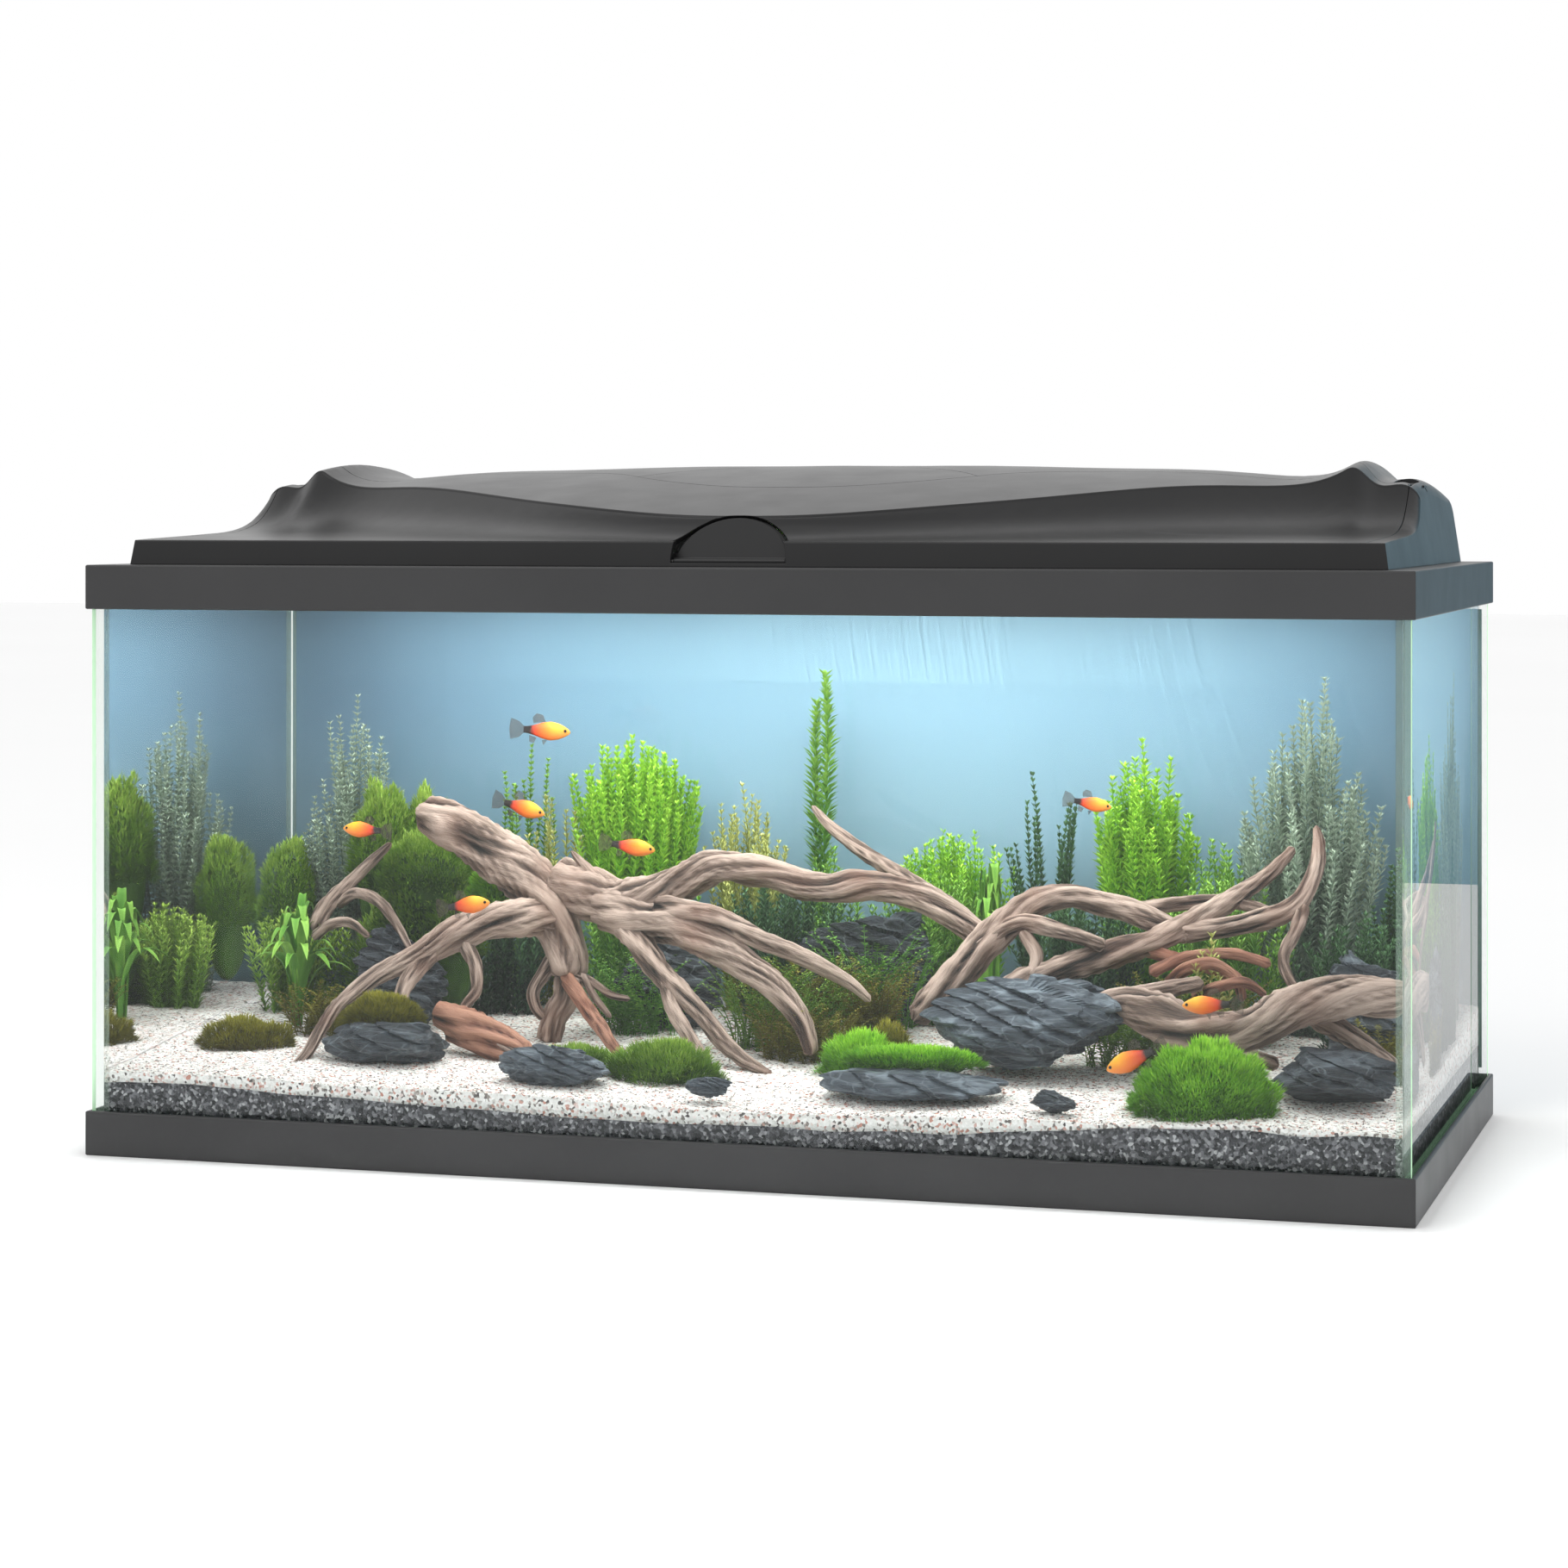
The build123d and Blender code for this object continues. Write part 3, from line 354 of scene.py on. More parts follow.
def rock_material(name, dark, mid, light):
    """Layered slate: tilted beds, pale cracks, and the rounded top edge of each bed lighter: partly
    weathering, partly a painted highlight where light from above falls.
    """
    material, tree, shader = start_material(name)
    wobble = noise_value(tree, object_point(tree, (1, 1, 2.2)), 30, 8, 0.68, 0.8)
    beds = noise_value(tree, object_point(tree, (0.25, 0.3, 3.4)), 60, 6, 0.6, 1.6)
    blend = math_node(tree, "ADD", math_node(tree, "MULTIPLY", wobble, 0.6),
                      math_node(tree, "MULTIPLY", beds, 0.4))
    base = ramp(tree, blend, [(0.36, dark), (0.52, mid), (0.68, light)])
    flattened = object_point(tree, (0.6, 0.7, 2.4))
    crack = node(tree, "TexVoronoi", {"feature": "DISTANCE_TO_EDGE"}, Vector=flattened, Scale=70)
    line = node(tree, "MapRange", i0=crack.outputs["Distance"], i1=0.0, i2=0.03, i3=0.55, i4=0.0)
    # Partly wear, partly painted highlight: lighter on the top edge of each bed.
    wear_and_top_highlight = node(tree, "Attribute", {"attribute_name": "wear_and_top_highlight"})
    pale = math_node(tree, "MULTIPLY", line.outputs[0], noise_value(tree, object_point(tree), 40))
    base = mixed(tree, pale, base, (0.36, 0.42, 0.46))
    base = mixed(tree, wear_and_top_highlight.outputs["Fac"], base, light)
    tree.links.new(base, shader.inputs["Base Color"])
    shader.inputs["Roughness"].default_value = 0.6
    bump(tree, shader, blend, 0.9, 0.004)
    return material


def wood_material(name, pale, mid, dark):
    """Weathered root: long fibres, warm patches, and painted shade that darkens the grooves while the ridges
    stay paler.
    """
    material, tree, shader = start_material(name)
    along = node(tree, "Attribute", {"attribute_name": "along"}).outputs["Fac"]
    around = node(tree, "Attribute", {"attribute_name": "around"}).outputs["Fac"]
    # Painted shade: low values in the grooves darken the wood, high values on the ridges lighten it.
    groove = node(tree, "Attribute", {"attribute_name": "groove"}).outputs["Fac"]
    flat = node(tree, "CombineXYZ", X=around, Y=along, Z=0.0)
    fibre = noise_value(tree, node(tree, "Mapping", Vector=flat.outputs[0], Scale=(9, 0.03, 1)).outputs[0],
                        2.2, 6, 0.65, 0.4)
    patch = noise_value(tree, object_point(tree), 14, 3)
    value = math_node(tree, "ADD", math_node(tree, "MULTIPLY", fibre, 0.6),
                      math_node(tree, "MULTIPLY", groove, 0.55))
    base = ramp(tree, value, [(0.38, dark), (0.58, mid), (0.84, pale)])
    warm = tuple(c * f for c, f in zip(mid, (1.25, 0.8, 0.62)))
    patchy = node(tree, "MapRange", i0=patch, i1=0.5, i2=0.7, i3=0.0, i4=0.55)
    tree.links.new(mixed(tree, patchy.outputs[0], base, warm), shader.inputs["Base Color"])
    shader.inputs["Roughness"].default_value = 0.7
    bump(tree, shader, fibre, 0.7, 0.0016)
    return material


def leaf_material(name, dark, mid, light):
    """Leaves that run from dark at the stem and in the shade to light at the tips."""
    material, tree, shader = start_material(name)
    tint = node(tree, "Attribute", {"attribute_name": "tint"}).outputs["Fac"]
    shade = node(tree, "Attribute", {"attribute_name": "shade"}).outputs["Fac"]
    mottled = noise_value(tree, object_point(tree), 60, 3)
    value = math_node(tree, "ADD", math_node(tree, "MULTIPLY", tint, 0.6),
                      math_node(tree, "MULTIPLY", shade, 0.22))
    value = math_node(tree, "ADD", value, math_node(tree, "MULTIPLY", mottled, 0.3))
    tree.links.new(ramp(tree, value, [(0.2, dark), (0.55, mid), (0.95, light)]), shader.inputs["Base Color"])
    shader.inputs["Roughness"].default_value = 0.55
    shader.inputs["Specular IOR Level"].default_value = 0.25
    return material


def fish_material():
    """Platy colours from nose to tail: yellow-orange, red towards the tail, black tail root."""
    material, tree, shader = start_material("fish_skin")
    along = node(tree, "Attribute", {"attribute_name": "along"}).outputs["Fac"]
    high = node(tree, "Attribute", {"attribute_name": "high"}).outputs["Fac"]
    spots = noise_value(tree, object_point(tree), 500, 3)
    place = math_node(tree, "ADD", along, math_node(tree, "MULTIPLY", spots, 0.1))
    top = ramp(tree, place, [(0.06, (0.75, 0.3, 0.03)), (0.35, (0.95, 0.45, 0.02)),
                             (0.62, (0.85, 0.16, 0.01)), (0.8, (0.6, 0.04, 0.01)),
                             (0.9, (0.02, 0.015, 0.015))])
    belly = ramp(tree, place, [(0.06, (0.9, 0.3, 0.05)), (0.5, (0.9, 0.18, 0.02)), (0.8, (0.7, 0.05, 0.01)),
                               (0.9, (0.02, 0.015, 0.015))])
    tree.links.new(mixed(tree, high, belly, top), shader.inputs["Base Color"])
    shader.inputs["Roughness"].default_value = 0.35
    bump(tree, shader, spots, 0.15, 0.0004)
    return material


def fin_material():
    material, tree, shader = start_material("fish_fin")
    rays = noise_value(tree, object_point(tree), 900, 2)
    tree.links.new(ramp(tree, rays, [(0.3, (0.01, 0.01, 0.01)), (0.7, (0.12, 0.09, 0.06))]),
                   shader.inputs["Base Color"])
    shader.inputs["Alpha"].default_value = 0.55
    shader.inputs["Roughness"].default_value = 0.5
    return material


def eye_material():
    material, tree, shader = start_material("fish_eye")
    spark = noise_value(tree, object_point(tree), 1500, 2)
    tree.links.new(ramp(tree, spark, [(0.4, (0.005, 0.005, 0.006)), (0.8, (0.05, 0.05, 0.05))]),
                   shader.inputs["Base Color"])
    shader.inputs["Roughness"].default_value = 0.08
    return material


TRIM = plastic("trim_plastic", (0.018, 0.018, 0.019), (0.025, 0.025, 0.026), 0.38)
HOOD = plastic("hood_plastic", (0.007, 0.007, 0.0075), (0.010, 0.010, 0.0105), 0.3, specular=0.34)
RUBBER = plastic("black_rubber", (0.02, 0.02, 0.02), (0.03, 0.03, 0.03), 0.75)
SILICONE = plastic("clear_silicone", (0.5, 0.68, 0.56), (0.6, 0.78, 0.66), 0.3, alpha=0.12)
BOARD = plastic("lamp_board", (0.8, 0.8, 0.76), (0.9, 0.9, 0.86), 0.5)
LENS = plastic("lamp_lens", (0.8, 0.85, 0.88), (0.9, 0.93, 0.95), 0.25)
STEEL = metal("steel", (0.6, 0.6, 0.6), 0.3)
ALUMINIUM = metal("aluminium", (0.75, 0.76, 0.78), 0.35)
FILM = film_material()
SAND = grain_material("white_sand", [(0.0, (0.06, 0.05, 0.05)), (0.12, (0.3, 0.26, 0.23)),
                                     (0.2, (0.72, 0.7, 0.66)), (0.8, (0.85, 0.83, 0.8)),
                                     (0.97, (0.5, 0.24, 0.18))], 620)
GRAVEL = grain_material("dark_gravel", [(0.0, (0.008, 0.008, 0.01)), (0.5, (0.05, 0.05, 0.055)),
                                        (0.85, (0.16, 0.16, 0.17)), (1.0, (0.4, 0.4, 0.4))], 560)
SLATE = rock_material("slate", (0.006, 0.008, 0.011), (0.03, 0.036, 0.045), (0.13, 0.16, 0.185))
SLATE_PALE = rock_material("slate_pale", (0.012, 0.016, 0.022), (0.055, 0.07, 0.088), (0.24, 0.29, 0.33))
WOOD = wood_material("root_wood", (0.44, 0.33, 0.27), (0.13, 0.083, 0.061), (0.006, 0.004, 0.003))
WOOD_RED = wood_material("root_bark", (0.4, 0.2, 0.13), (0.16, 0.06, 0.035), (0.015, 0.006, 0.004))


# --- finishes of the CAD pieces ----------------------------------------------------------------
def finish_cad():
    trim = ("bottom_frame", "top_frame", "hood_hinge_brackets", "lamp_cap_left", "lamp_cap_right",
            "lamp_brackets")
    finishes = dict.fromkeys(trim, TRIM)
    finishes.update(dict.fromkeys(("hood_shell", "front_flap", "lens_plate", "feed_door"), HOOD))
    finishes.update(dict.fromkeys(("corner_silicone", "floor_silicone"), SILICONE))
    pins = ("hood_hinge_pins", "bracket_screws", "flap_pins", "feed_door_pin")
    finishes.update(dict.fromkeys(pins, STEEL))
    finishes.update(cable_grommet=RUBBER, lamp_housing=ALUMINIUM, lamp_board=BOARD, lamp_lens=LENS,
                    background_film=FILM)
    finishes.update(dict.fromkeys(("glass_front", "glass_back"), pane_glass("pane_front_back", 1, 0.9)))
    finishes.update(dict.fromkeys(("glass_left", "glass_right"), pane_glass("pane_sides", 0, 0.02)))
    finishes["glass_bottom"] = pane_glass("pane_floor", 2, 0.8)
    for name, material in finishes.items():
        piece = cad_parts[name]
        piece.data.materials.clear()
        piece.data.materials.append(material)


# --- sand, gravel and water ----------------------------------------------------------------------
inner_low = np.array(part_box("sand_white")[0]) / MM
inner_high = np.array(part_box("sand_white")[1]) / MM
gravel_low = np.array(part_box("gravel_dark")[0]) / MM
pane_low = np.array(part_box("glass_front")[0]) / MM
SAND_FRONT, SAND_RISE = 50.0, 22.0


def sand_top(x, y):
    """Sand surface: rises to the back, higher at both ends, with gentle hummocks."""
    x, y = np.atleast_1d(x).astype(float), np.atleast_1d(y).astype(float)
    slope = SAND_FRONT + SAND_RISE * (y - inner_low[1]) / (inner_high[1] - inner_low[1])
    points = np.stack([x / 60, y / 45, 0 * x], axis=-1)
    fine = np.stack([x / 6, y / 6, 0 * x + 5], axis=-1)
    front = np.clip((inner_low[1] + 80 - y) / 80, 0, 1)
    dip = -5 * front * np.exp(-((x - 60) / 190) ** 2)
    return slope + 2.0 * noise(points, 3) + 0.35 * noise(fine, 4) + dip


def gravel_top(x):
    """Line on the panes between the dark gravel and the white sand."""
    points = np.stack([x / 34, 0 * x, 0 * x], axis=-1)
    valley = np.exp(-((x + 10) / 210) ** 2)
    return 44 - 9 * valley + 3.5 * (x > 150) * np.clip((x - 150) / 120, 0, 1) + 1.8 * noise(points, 9)


def bed_box(name, floor_at, top_at, columns, rows, material, slot, replaced):
    """A closed bed: a fine top over walls that go down to floor_at."""
    xs = np.linspace(inner_low[0], inner_high[0], columns)
    ys = np.linspace(inner_low[1], inner_high[1], rows)
    gx, gy = np.meshgrid(xs, ys)
    gx, gy = gx.ravel(), gy.ravel()
    top = np.stack([gx, gy, top_at(gx, gy)], axis=-1)
    low = np.stack([gx, gy, floor_at(gx, gy)], axis=-1)
    count = len(top)
    faces = grid_faces(rows, columns)
    walls = []
    index = np.arange(count).reshape(rows, columns)
    for edge in (index[0, :], index[-1, ::-1], index[::-1, 0], index[:, -1]):
        walls.append(np.stack([edge[:-1] + count, edge[1:] + count, edge[1:], edge[:-1]], axis=-1))
    faces = np.concatenate([faces, faces[:, ::-1] + count, *walls])
    return make_piece(name, np.concatenate([top, low]), faces, [material], replaces=(replaced,), slot=slot)


OCTAHEDRON = np.array([(1, 0, 0), (0, 1, 0), (-1, 0, 0), (0, -1, 0), (0, 0, 1), (0, 0, -1)], dtype=float)
OCTAHEDRON_FACES = np.array([(0, 1, 4), (1, 2, 4), (2, 3, 4), (3, 0, 4),
                             (1, 0, 5), (2, 1, 5), (3, 2, 5), (0, 3, 5)])


def scatter_grains(name, places, sizes, material, slot, seed):
    """Small angular grains, each squashed and turned its own way."""
    rng = np.random.default_rng(seed)
    count = len(places)
    turn = rng.uniform(0, math.tau, count)
    squash = rng.uniform(0.55, 1.0, (count, 3))
    corners = OCTAHEDRON[None] * squash[:, None] * np.asarray(sizes)[:, None, None]
    x = corners[..., 0] * np.cos(turn)[:, None] - corners[..., 1] * np.sin(turn)[:, None]
    y = corners[..., 0] * np.sin(turn)[:, None] + corners[..., 1] * np.cos(turn)[:, None]
    verts = np.stack([x, y, corners[..., 2]], axis=-1) + places[:, None]
    faces = (np.arange(count)[:, None, None] * 6 + OCTAHEDRON_FACES[None]).reshape(-1, 3)
    return make_piece(name, verts.reshape(-1, 3), faces, [material], slot=slot, smooth=False)


def make_beds():
    bed_box("sand_bed", lambda x, y: gravel_top(x),
            lambda x, y: np.maximum(sand_top(x, y), gravel_top(x) + 2),
            330, 170, SAND, "white_sand", "sand_white")
    bed_box("gravel_bed", lambda x, y: gravel_low[2] + 0 * x, lambda x, y: gravel_top(x) - 0.05,
            330, 12, GRAVEL, "dark_gravel", "gravel_dark")
    rng = np.random.default_rng(11)
    count = 15000
    x = rng.uniform(inner_low[0] + 2, inner_high[0] - 2, count)
    y = inner_low[1] + 1.5 + (inner_high[1] - inner_low[1] - 4) * rng.uniform(0, 1, count) ** 1.7
    z = sand_top(x, y) + 0.2
    places = np.stack([x, y, z], axis=-1)
    scatter_grains("sand_grains", places, rng.uniform(0.35, 0.95, count), SAND, "white_sand", 12)


def make_water():
    """The water fills the tank up to a slightly rippled surface behind the top trim."""
    gap, top, bottom = 0.25, 345.0, pane_low[2] + 1.0
    half_x, half_y = inner_high[0] + 0.6 - gap, inner_high[1] + 0.6 - gap
    columns, rows = 90, 46
    gx, gy = np.meshgrid(np.linspace(-half_x, half_x, columns), np.linspace(-half_y, half_y, rows))
    gx, gy = gx.ravel(), gy.ravel()
    ripple = 0.5 * noise(np.stack([gx / 26, gy / 22, 0 * gx], axis=-1), 21)
    upper = np.stack([gx, gy, top + ripple], axis=-1)
    index = np.arange(len(upper)).reshape(rows, columns)
    rim = np.concatenate([index[0, :-1], index[:-1, -1], index[-1, :0:-1], index[:0:-1, 0]])
    foot = upper[rim].copy()
    foot[:, 2] = bottom
    low = np.arange(len(rim)) + len(upper)
    walls = np.stack([low, np.roll(low, -1), np.roll(rim, -1), rim], axis=-1).tolist()
    faces = grid_faces(rows, columns).tolist() + walls + [low[::-1].tolist()]
    make_piece("water", np.concatenate([upper, foot]), faces, [water_material()], smooth=False)


# --- stones -----------------------------------------------------------------------------------------
def ball(levels):
    """Unit ball of even triangles."""
    mesh = bmesh.new()
    bmesh.ops.create_icosphere(mesh, subdivisions=levels, radius=1.0)
    verts = np.array([v.co[:] for v in mesh.verts])
    faces = np.array([[v.index for v in f.verts] for f in mesh.faces])
    mesh.free()
    return verts, faces


ROCK_TILT = 0.35


def make_rock(node_name, seed, material, beds, sink):
    """A broken, bedded stone that fills its CAD box and is sunk into the sand."""
    low, high = (np.array(corner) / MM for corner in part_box(node_name))
    low[2] -= sink
    middle, half = (low + high) / 2, (high - low) / 2
    shape, faces = ball(6)
    rng = np.random.default_rng(seed)
    cuts = unit(rng.normal(size=(16, 3)))
    reach = np.ones(len(shape))
    for cut, depth in zip(cuts, rng.uniform(0.6, 0.92, 16)):
        facing = shape @ cut
        reach = np.minimum(reach, np.where(facing > 0.05, depth / np.maximum(facing, 0.05), 9))
    reach = np.clip(reach, 0.5, 1.0)
    places = shape * reach[:, None]
    size = half.max()
    world = places * half
    bed_axis = unit(np.array((ROCK_TILT, 0.25 * ROCK_TILT, 1.0)))
    height = world @ bed_axis + 0.07 * size * layered_noise(world / size * 2.2, 3, seed)
    step = size / beds
    phase = height / step
    ledge = (phase - np.floor(phase)) ** 3
    outward = unit(world * (1, 1, 0.35))
    rough = layered_noise(world / size * 5, 5, seed + 40)
    grain = layered_noise(world * (0.35, 0.35, 1.6) / size * 9, 3, seed + 60)
    push = -0.13 * ledge + 0.12 * rough + 0.075 * grain
    world = world + outward * (push * size * 0.8)[:, None]
    world = np.clip(world, -half, half)
    # Partly wear, partly painted highlight: the top edge of each bed, where light from above falls, is made
    # paler, with random patches from the rough noise.
    wear_and_top_highlight = np.clip(ledge * 0.9 - 0.5 + rough * 0.9, 0, 0.7)
    make_piece(node_name.replace("rock", "stone"), world + middle, faces, [material], replaces=(node_name,),
               slot="slate_rock", numbers={"wear_and_top_highlight": wear_and_top_highlight}, smooth=False)


def make_rocks():
    pale = {"rock_layered", "rock_flat_front", "rock_round_left", "rock_pebble_centre"}
    names = [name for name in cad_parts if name.startswith("rock_")]
    for seed, name in enumerate(sorted(names)):
        beds, material = (7.0, SLATE_PALE) if name in pale else (5.0, SLATE)
        make_rock(name, 100 + seed, material, beds, sink=3 if "pebble" in name else 6)


# --- driftwood ---------------------------------------------------------------------------------------
STUMP = [
    [(-248, 8, 203, 9), (-222, 4, 193, 13), (-201, 2, 180, 14.5), (-182, 1, 168, 15), (-166, 0, 155, 15),
     (-154, -3, 140, 14), (-147, -5, 124, 12), (-143, -7, 110, 11), (-142, -9, 98, 9)],
    [(-148, -6, 116, 7), (-157, -10, 104, 4.2), (-163, -14, 92, 3.6), (-161, -16, 82, 3.2),
     (-155, -16, 75, 3)],
    [(-141, -8, 104, 9), (-143, -12, 88, 7.5), (-149, -14, 76, 7), (-153, -14, 58, 8)],
    [(-158, 0, 164, 12), (-132, -2, 154, 14), (-109, -6, 148, 13), (-87, -8, 153, 11), (-66, -6, 164, 10),
     (-47, -4, 172, 9.5), (-26, -2, 171, 8.5), (-8, 0, 168, 8), (10, 1, 162, 8), (28, 2, 160, 8.5),
     (52, 3, 163, 8), (76, 4, 159, 7.5), (100, 4, 148, 7), (122, 3, 133, 6.5), (134, 2, 125, 5)],
    [(-126, -4, 148, 12), (-104, -12, 143, 12), (-88, -18, 139, 11), (-62, -28, 135, 9.5),
     (-40, -38, 127, 9),
     (-18, -46, 117, 8.5), (1, -54, 106, 7.5), (14, -60, 95, 6.5), (24, -66, 82, 5.5), (30, -72, 66, 4)],
    [(-104, -12, 138, 9), (-90, -26, 126, 7.5), (-78, -36, 114, 7), (-66, -44, 103, 6.5), (-54, -54, 95, 6),
     (-40, -62, 84, 5.2), (-27, -70, 72, 4.6), (-10, -78, 61, 3.6), (8, -84, 54, 2)],
    [(-70, -42, 106, 4.6), (-60, -58, 88, 4.4), (-46, -70, 71, 4), (-34, -80, 58, 3), (-26, -88, 52, 1.5)],
    [(-82, -18, 146, 8), (-58, -32, 146, 6.4), (-34, -40, 142, 6), (-8, -45, 132, 5.4), (22, -47, 121, 4.6),
     (48, -47, 108, 3.4), (62, -48, 97, 2)],
    [(-150, -4, 138, 10), (-173, -26, 138, 10), (-190, -36, 135, 9.6), (-206, -42, 129, 9),
     (-220, -46, 121, 7.6),
     (-238, -53, 111, 6), (-254, -60, 103, 5), (-267, -70, 93, 4.4), (-276, -84, 83, 3.8),
     (-281, -100, 70, 3.4),
     (-284, -118, 58, 2.8), (-290, -132, 50, 1.6)],
    [(-220, -46, 119, 6), (-231, -56, 105, 5), (-236, -66, 92, 4), (-232, -78, 78, 3.2),
     (-226, -90, 65, 2.6),
     (-221, -102, 54, 1.6)],
    [(-201, -42, 124, 5), (-192, -50, 110, 4), (-190, -54, 96, 3.4), (-196, -60, 84, 3),
     (-190, -70, 76, 2.6),
     (-172, -82, 67, 2.4), (-150, -94, 60, 2)],
    [(-112, -6, 152, 7), (-124, -4, 162, 4.6), (-134, -4, 172, 2.8), (-141, -4, 180, 1)],
    [(-150, -10, 106, 3), (-128, -12, 100, 2.4), (-112, -16, 92, 2), (-98, -20, 90, 1.4)],
    [(-132, -12, 104, 2.4), (-122, -16, 90, 2), (-110, -22, 78, 1.4)],
]
STUMP_RED = [
    [(-143, -10, 102, 5), (-128, -30, 90, 4.4), (-112, -52, 79, 4), (-98, -70, 68, 3.4),
     (-86, -84, 59, 2.6),
     (-78, -93, 52, 1.2)],
    [(-216, -62, 82, 6), (-194, -70, 75, 9), (-168, -78, 66, 9.5), (-148, -86, 58, 7)],
    [(-206, -68, 70, 4), (-182, -78, 64, 5), (-152, -90, 55, 4)],
]
RIGHT = [
    [(84, -24, 84, 7), (100, -20, 101, 8.4), (119, -12, 122, 9), (138, -4, 142, 8.4), (155, 0, 156, 7.4),
     (178, 4, 160, 6.4), (205, 8, 154, 6.4), (226, 6, 147, 6), (250, 4, 137, 4)],
    [(126, -20, 94, 6), (149, -24, 108, 7), (176, -20, 118, 7), (206, -10, 128, 7), (234, 0, 137, 6.6),
     (256, 14, 150, 6), (276, 26, 162, 5.4), (292, 36, 174, 4.4), (307, 46, 190, 2.4)],
    [(104, -12, 112, 5), (128, -10, 132, 5.4), (150, -14, 144, 5), (176, -18, 140, 5), (202, -22, 133, 4)],
    [(232, 2, 140, 5.4), (262, 8, 142, 5.4), (290, 10, 148, 5.4), (312, 8, 158, 5.4), (322, 20, 176, 4.8),
     (323, 34, 192, 3.6), (321, 40, 204, 1.8)],
    [(318, 8, 158, 4.4), (314, -6, 144, 3.6), (308, -16, 130, 3.2), (312, -24, 118, 2.8),
     (321, -28, 106, 2)],
    [(122, -26, 104, 5), (150, -34, 97, 5.4), (190, -40, 100, 5.4), (232, -44, 108, 5),
     (264, -42, 115, 3.6)],
    [(150, -14, 140, 4), (160, -22, 126, 3.6), (158, -28, 112, 3)],
    [(200, 12, 150, 4), (238, 20, 156, 4), (270, 26, 158, 3.4), (300, 22, 152, 2.6)],
    [(-4, 88, 206, 1.4), (8, 82, 195, 3), (26, 74, 183, 4), (44, 66, 173, 4.6), (72, 50, 160, 5),
     (104, 30, 146, 5)],
]
RIGHT_RED = [
    [(240, -22, 112, 3), (252, -32, 122, 3.4), (268, -36, 126, 3.4), (282, -34, 118, 3.2),
     (286, -34, 104, 2.8)],
    [(256, -26, 104, 3), (270, -38, 112, 3), (288, -40, 116, 2.8), (300, -34, 108, 2.2)],
    [(230, -30, 118, 3.4), (250, -20, 128, 3.2), (276, -12, 130, 3), (300, -10, 124, 2.6)],
    [(214, 0, 132, 4), (240, -6, 126, 3.6), (270, -8, 118, 3), (296, -14, 108, 2)],
]
FRONT_RIGHT = [
    [(188, -66, 88, 4), (204, -58, 99, 7), (222, -62, 102, 9.5), (240, -70, 97, 11.5), (262, -80, 91, 11.5),
     (288, -88, 91, 10.5), (306, -90, 97, 10.5), (322, -86, 106, 11), (340, -78, 112, 11),
     (360, -70, 114, 10.4),
     (386, -62, 113, 9)],
    [(300, -76, 104, 5), (318, -62, 106, 6), (340, -60, 96, 6), (360, -68, 85, 5.4), (380, -80, 73, 4.4)],
    [(228, -66, 96, 5), (252, -58, 86, 5), (284, -62, 78, 4.4), (312, -74, 72, 3.6)],
]
SNAGS = [
    [(-270, 22, 180, 1.6), (-284, 24, 168, 3.4), (-300, 24, 153, 4.4), (-314, 20, 138, 5),
     (-322, 16, 122, 5.4)],
    [(-308, 22, 138, 3), (-294, 18, 147, 3.6), (-276, 8, 144, 3.4), (-260, 0, 130, 3),
     (-248, -6, 114, 2.2)],
    [(-320, 10, 118, 3), (-306, 4, 128, 3), (-292, 0, 130, 2.6), (-276, -8, 122, 2)],
]


def wood_limb(gather, points, seed, mark=0):
    """A gnarled limb: an uneven tube with grooves that run along it."""
    path = smooth_path(points, 2.0)
    centre, radius = path[:, :3], path[:, 3]
    widest = radius.max()
    around = 44 if widest > 9 else 28 if widest > 5 else 16
    across, other = ring_frames(centre)
    lengths = np.concatenate([[0], np.cumsum(np.linalg.norm(np.diff(centre, axis=0), axis=1))])
    angle = np.linspace(0, math.tau, around, endpoint=False)
    ll, aa = np.meshgrid(lengths, angle, indexing="ij")
    turn = aa + ll / 55
    circle = np.stack([np.cos(turn) * 1.9, np.sin(turn) * 1.9, ll / 46], axis=-1).reshape(-1, 3)
    fine = np.stack([np.cos(turn) * 4.5, np.sin(turn) * 4.5, ll / 60], axis=-1).reshape(-1, 3)
    knots = np.stack([np.cos(aa) * 0.8, np.sin(aa) * 0.8, ll / 16], axis=-1).reshape(-1, 3)
    ridge = 1 - np.abs(noise(circle, seed)) * 2.4
    small = 1 - np.abs(noise(fine, seed + 7)) * 2.2
    bulge = noise(knots, seed + 13)
    swell = 1 + 0.20 * ridge + 0.10 * small + 0.17 * bulge
    taper = np.clip(np.minimum(lengths, lengths[-1] - lengths) / (0.5 * radius), 0.25, 1)
    reach = (radius * taper)[:, None] * swell.reshape(ll.shape)
    verts = centre[:, None] + reach[..., None] * (np.cos(aa)[..., None] * across[:, None]
                                                  + np.sin(aa)[..., None] * other[:, None])
    rings, columns = ll.shape
    faces = grid_faces(rings, columns, wrap=True)
    # Painted shade: the value falls in the grooves between ridges and rises on them.
    groove = np.clip(0.42 + 0.42 * ridge + 0.32 * small, 0, 1)
    around_place = np.abs(turn.ravel() % math.tau / math.pi - 1)
    gather.add(verts.reshape(-1, 3), faces, mark, along=ll.ravel(), around=around_place, groove=groove)
    for ring, flip in ((0, True), (rings - 1, False)):
        tip = centre[ring]
        rim = verts[ring]
        cap = np.concatenate([rim, tip[None]])
        index = np.arange(columns)
        fan = np.stack([index, np.roll(index, -1), np.full(columns, columns)], axis=-1)
        gather.add(cap, fan[:, ::-1] if flip else fan, mark, along=lengths[ring], around=0.5, groove=0.6)


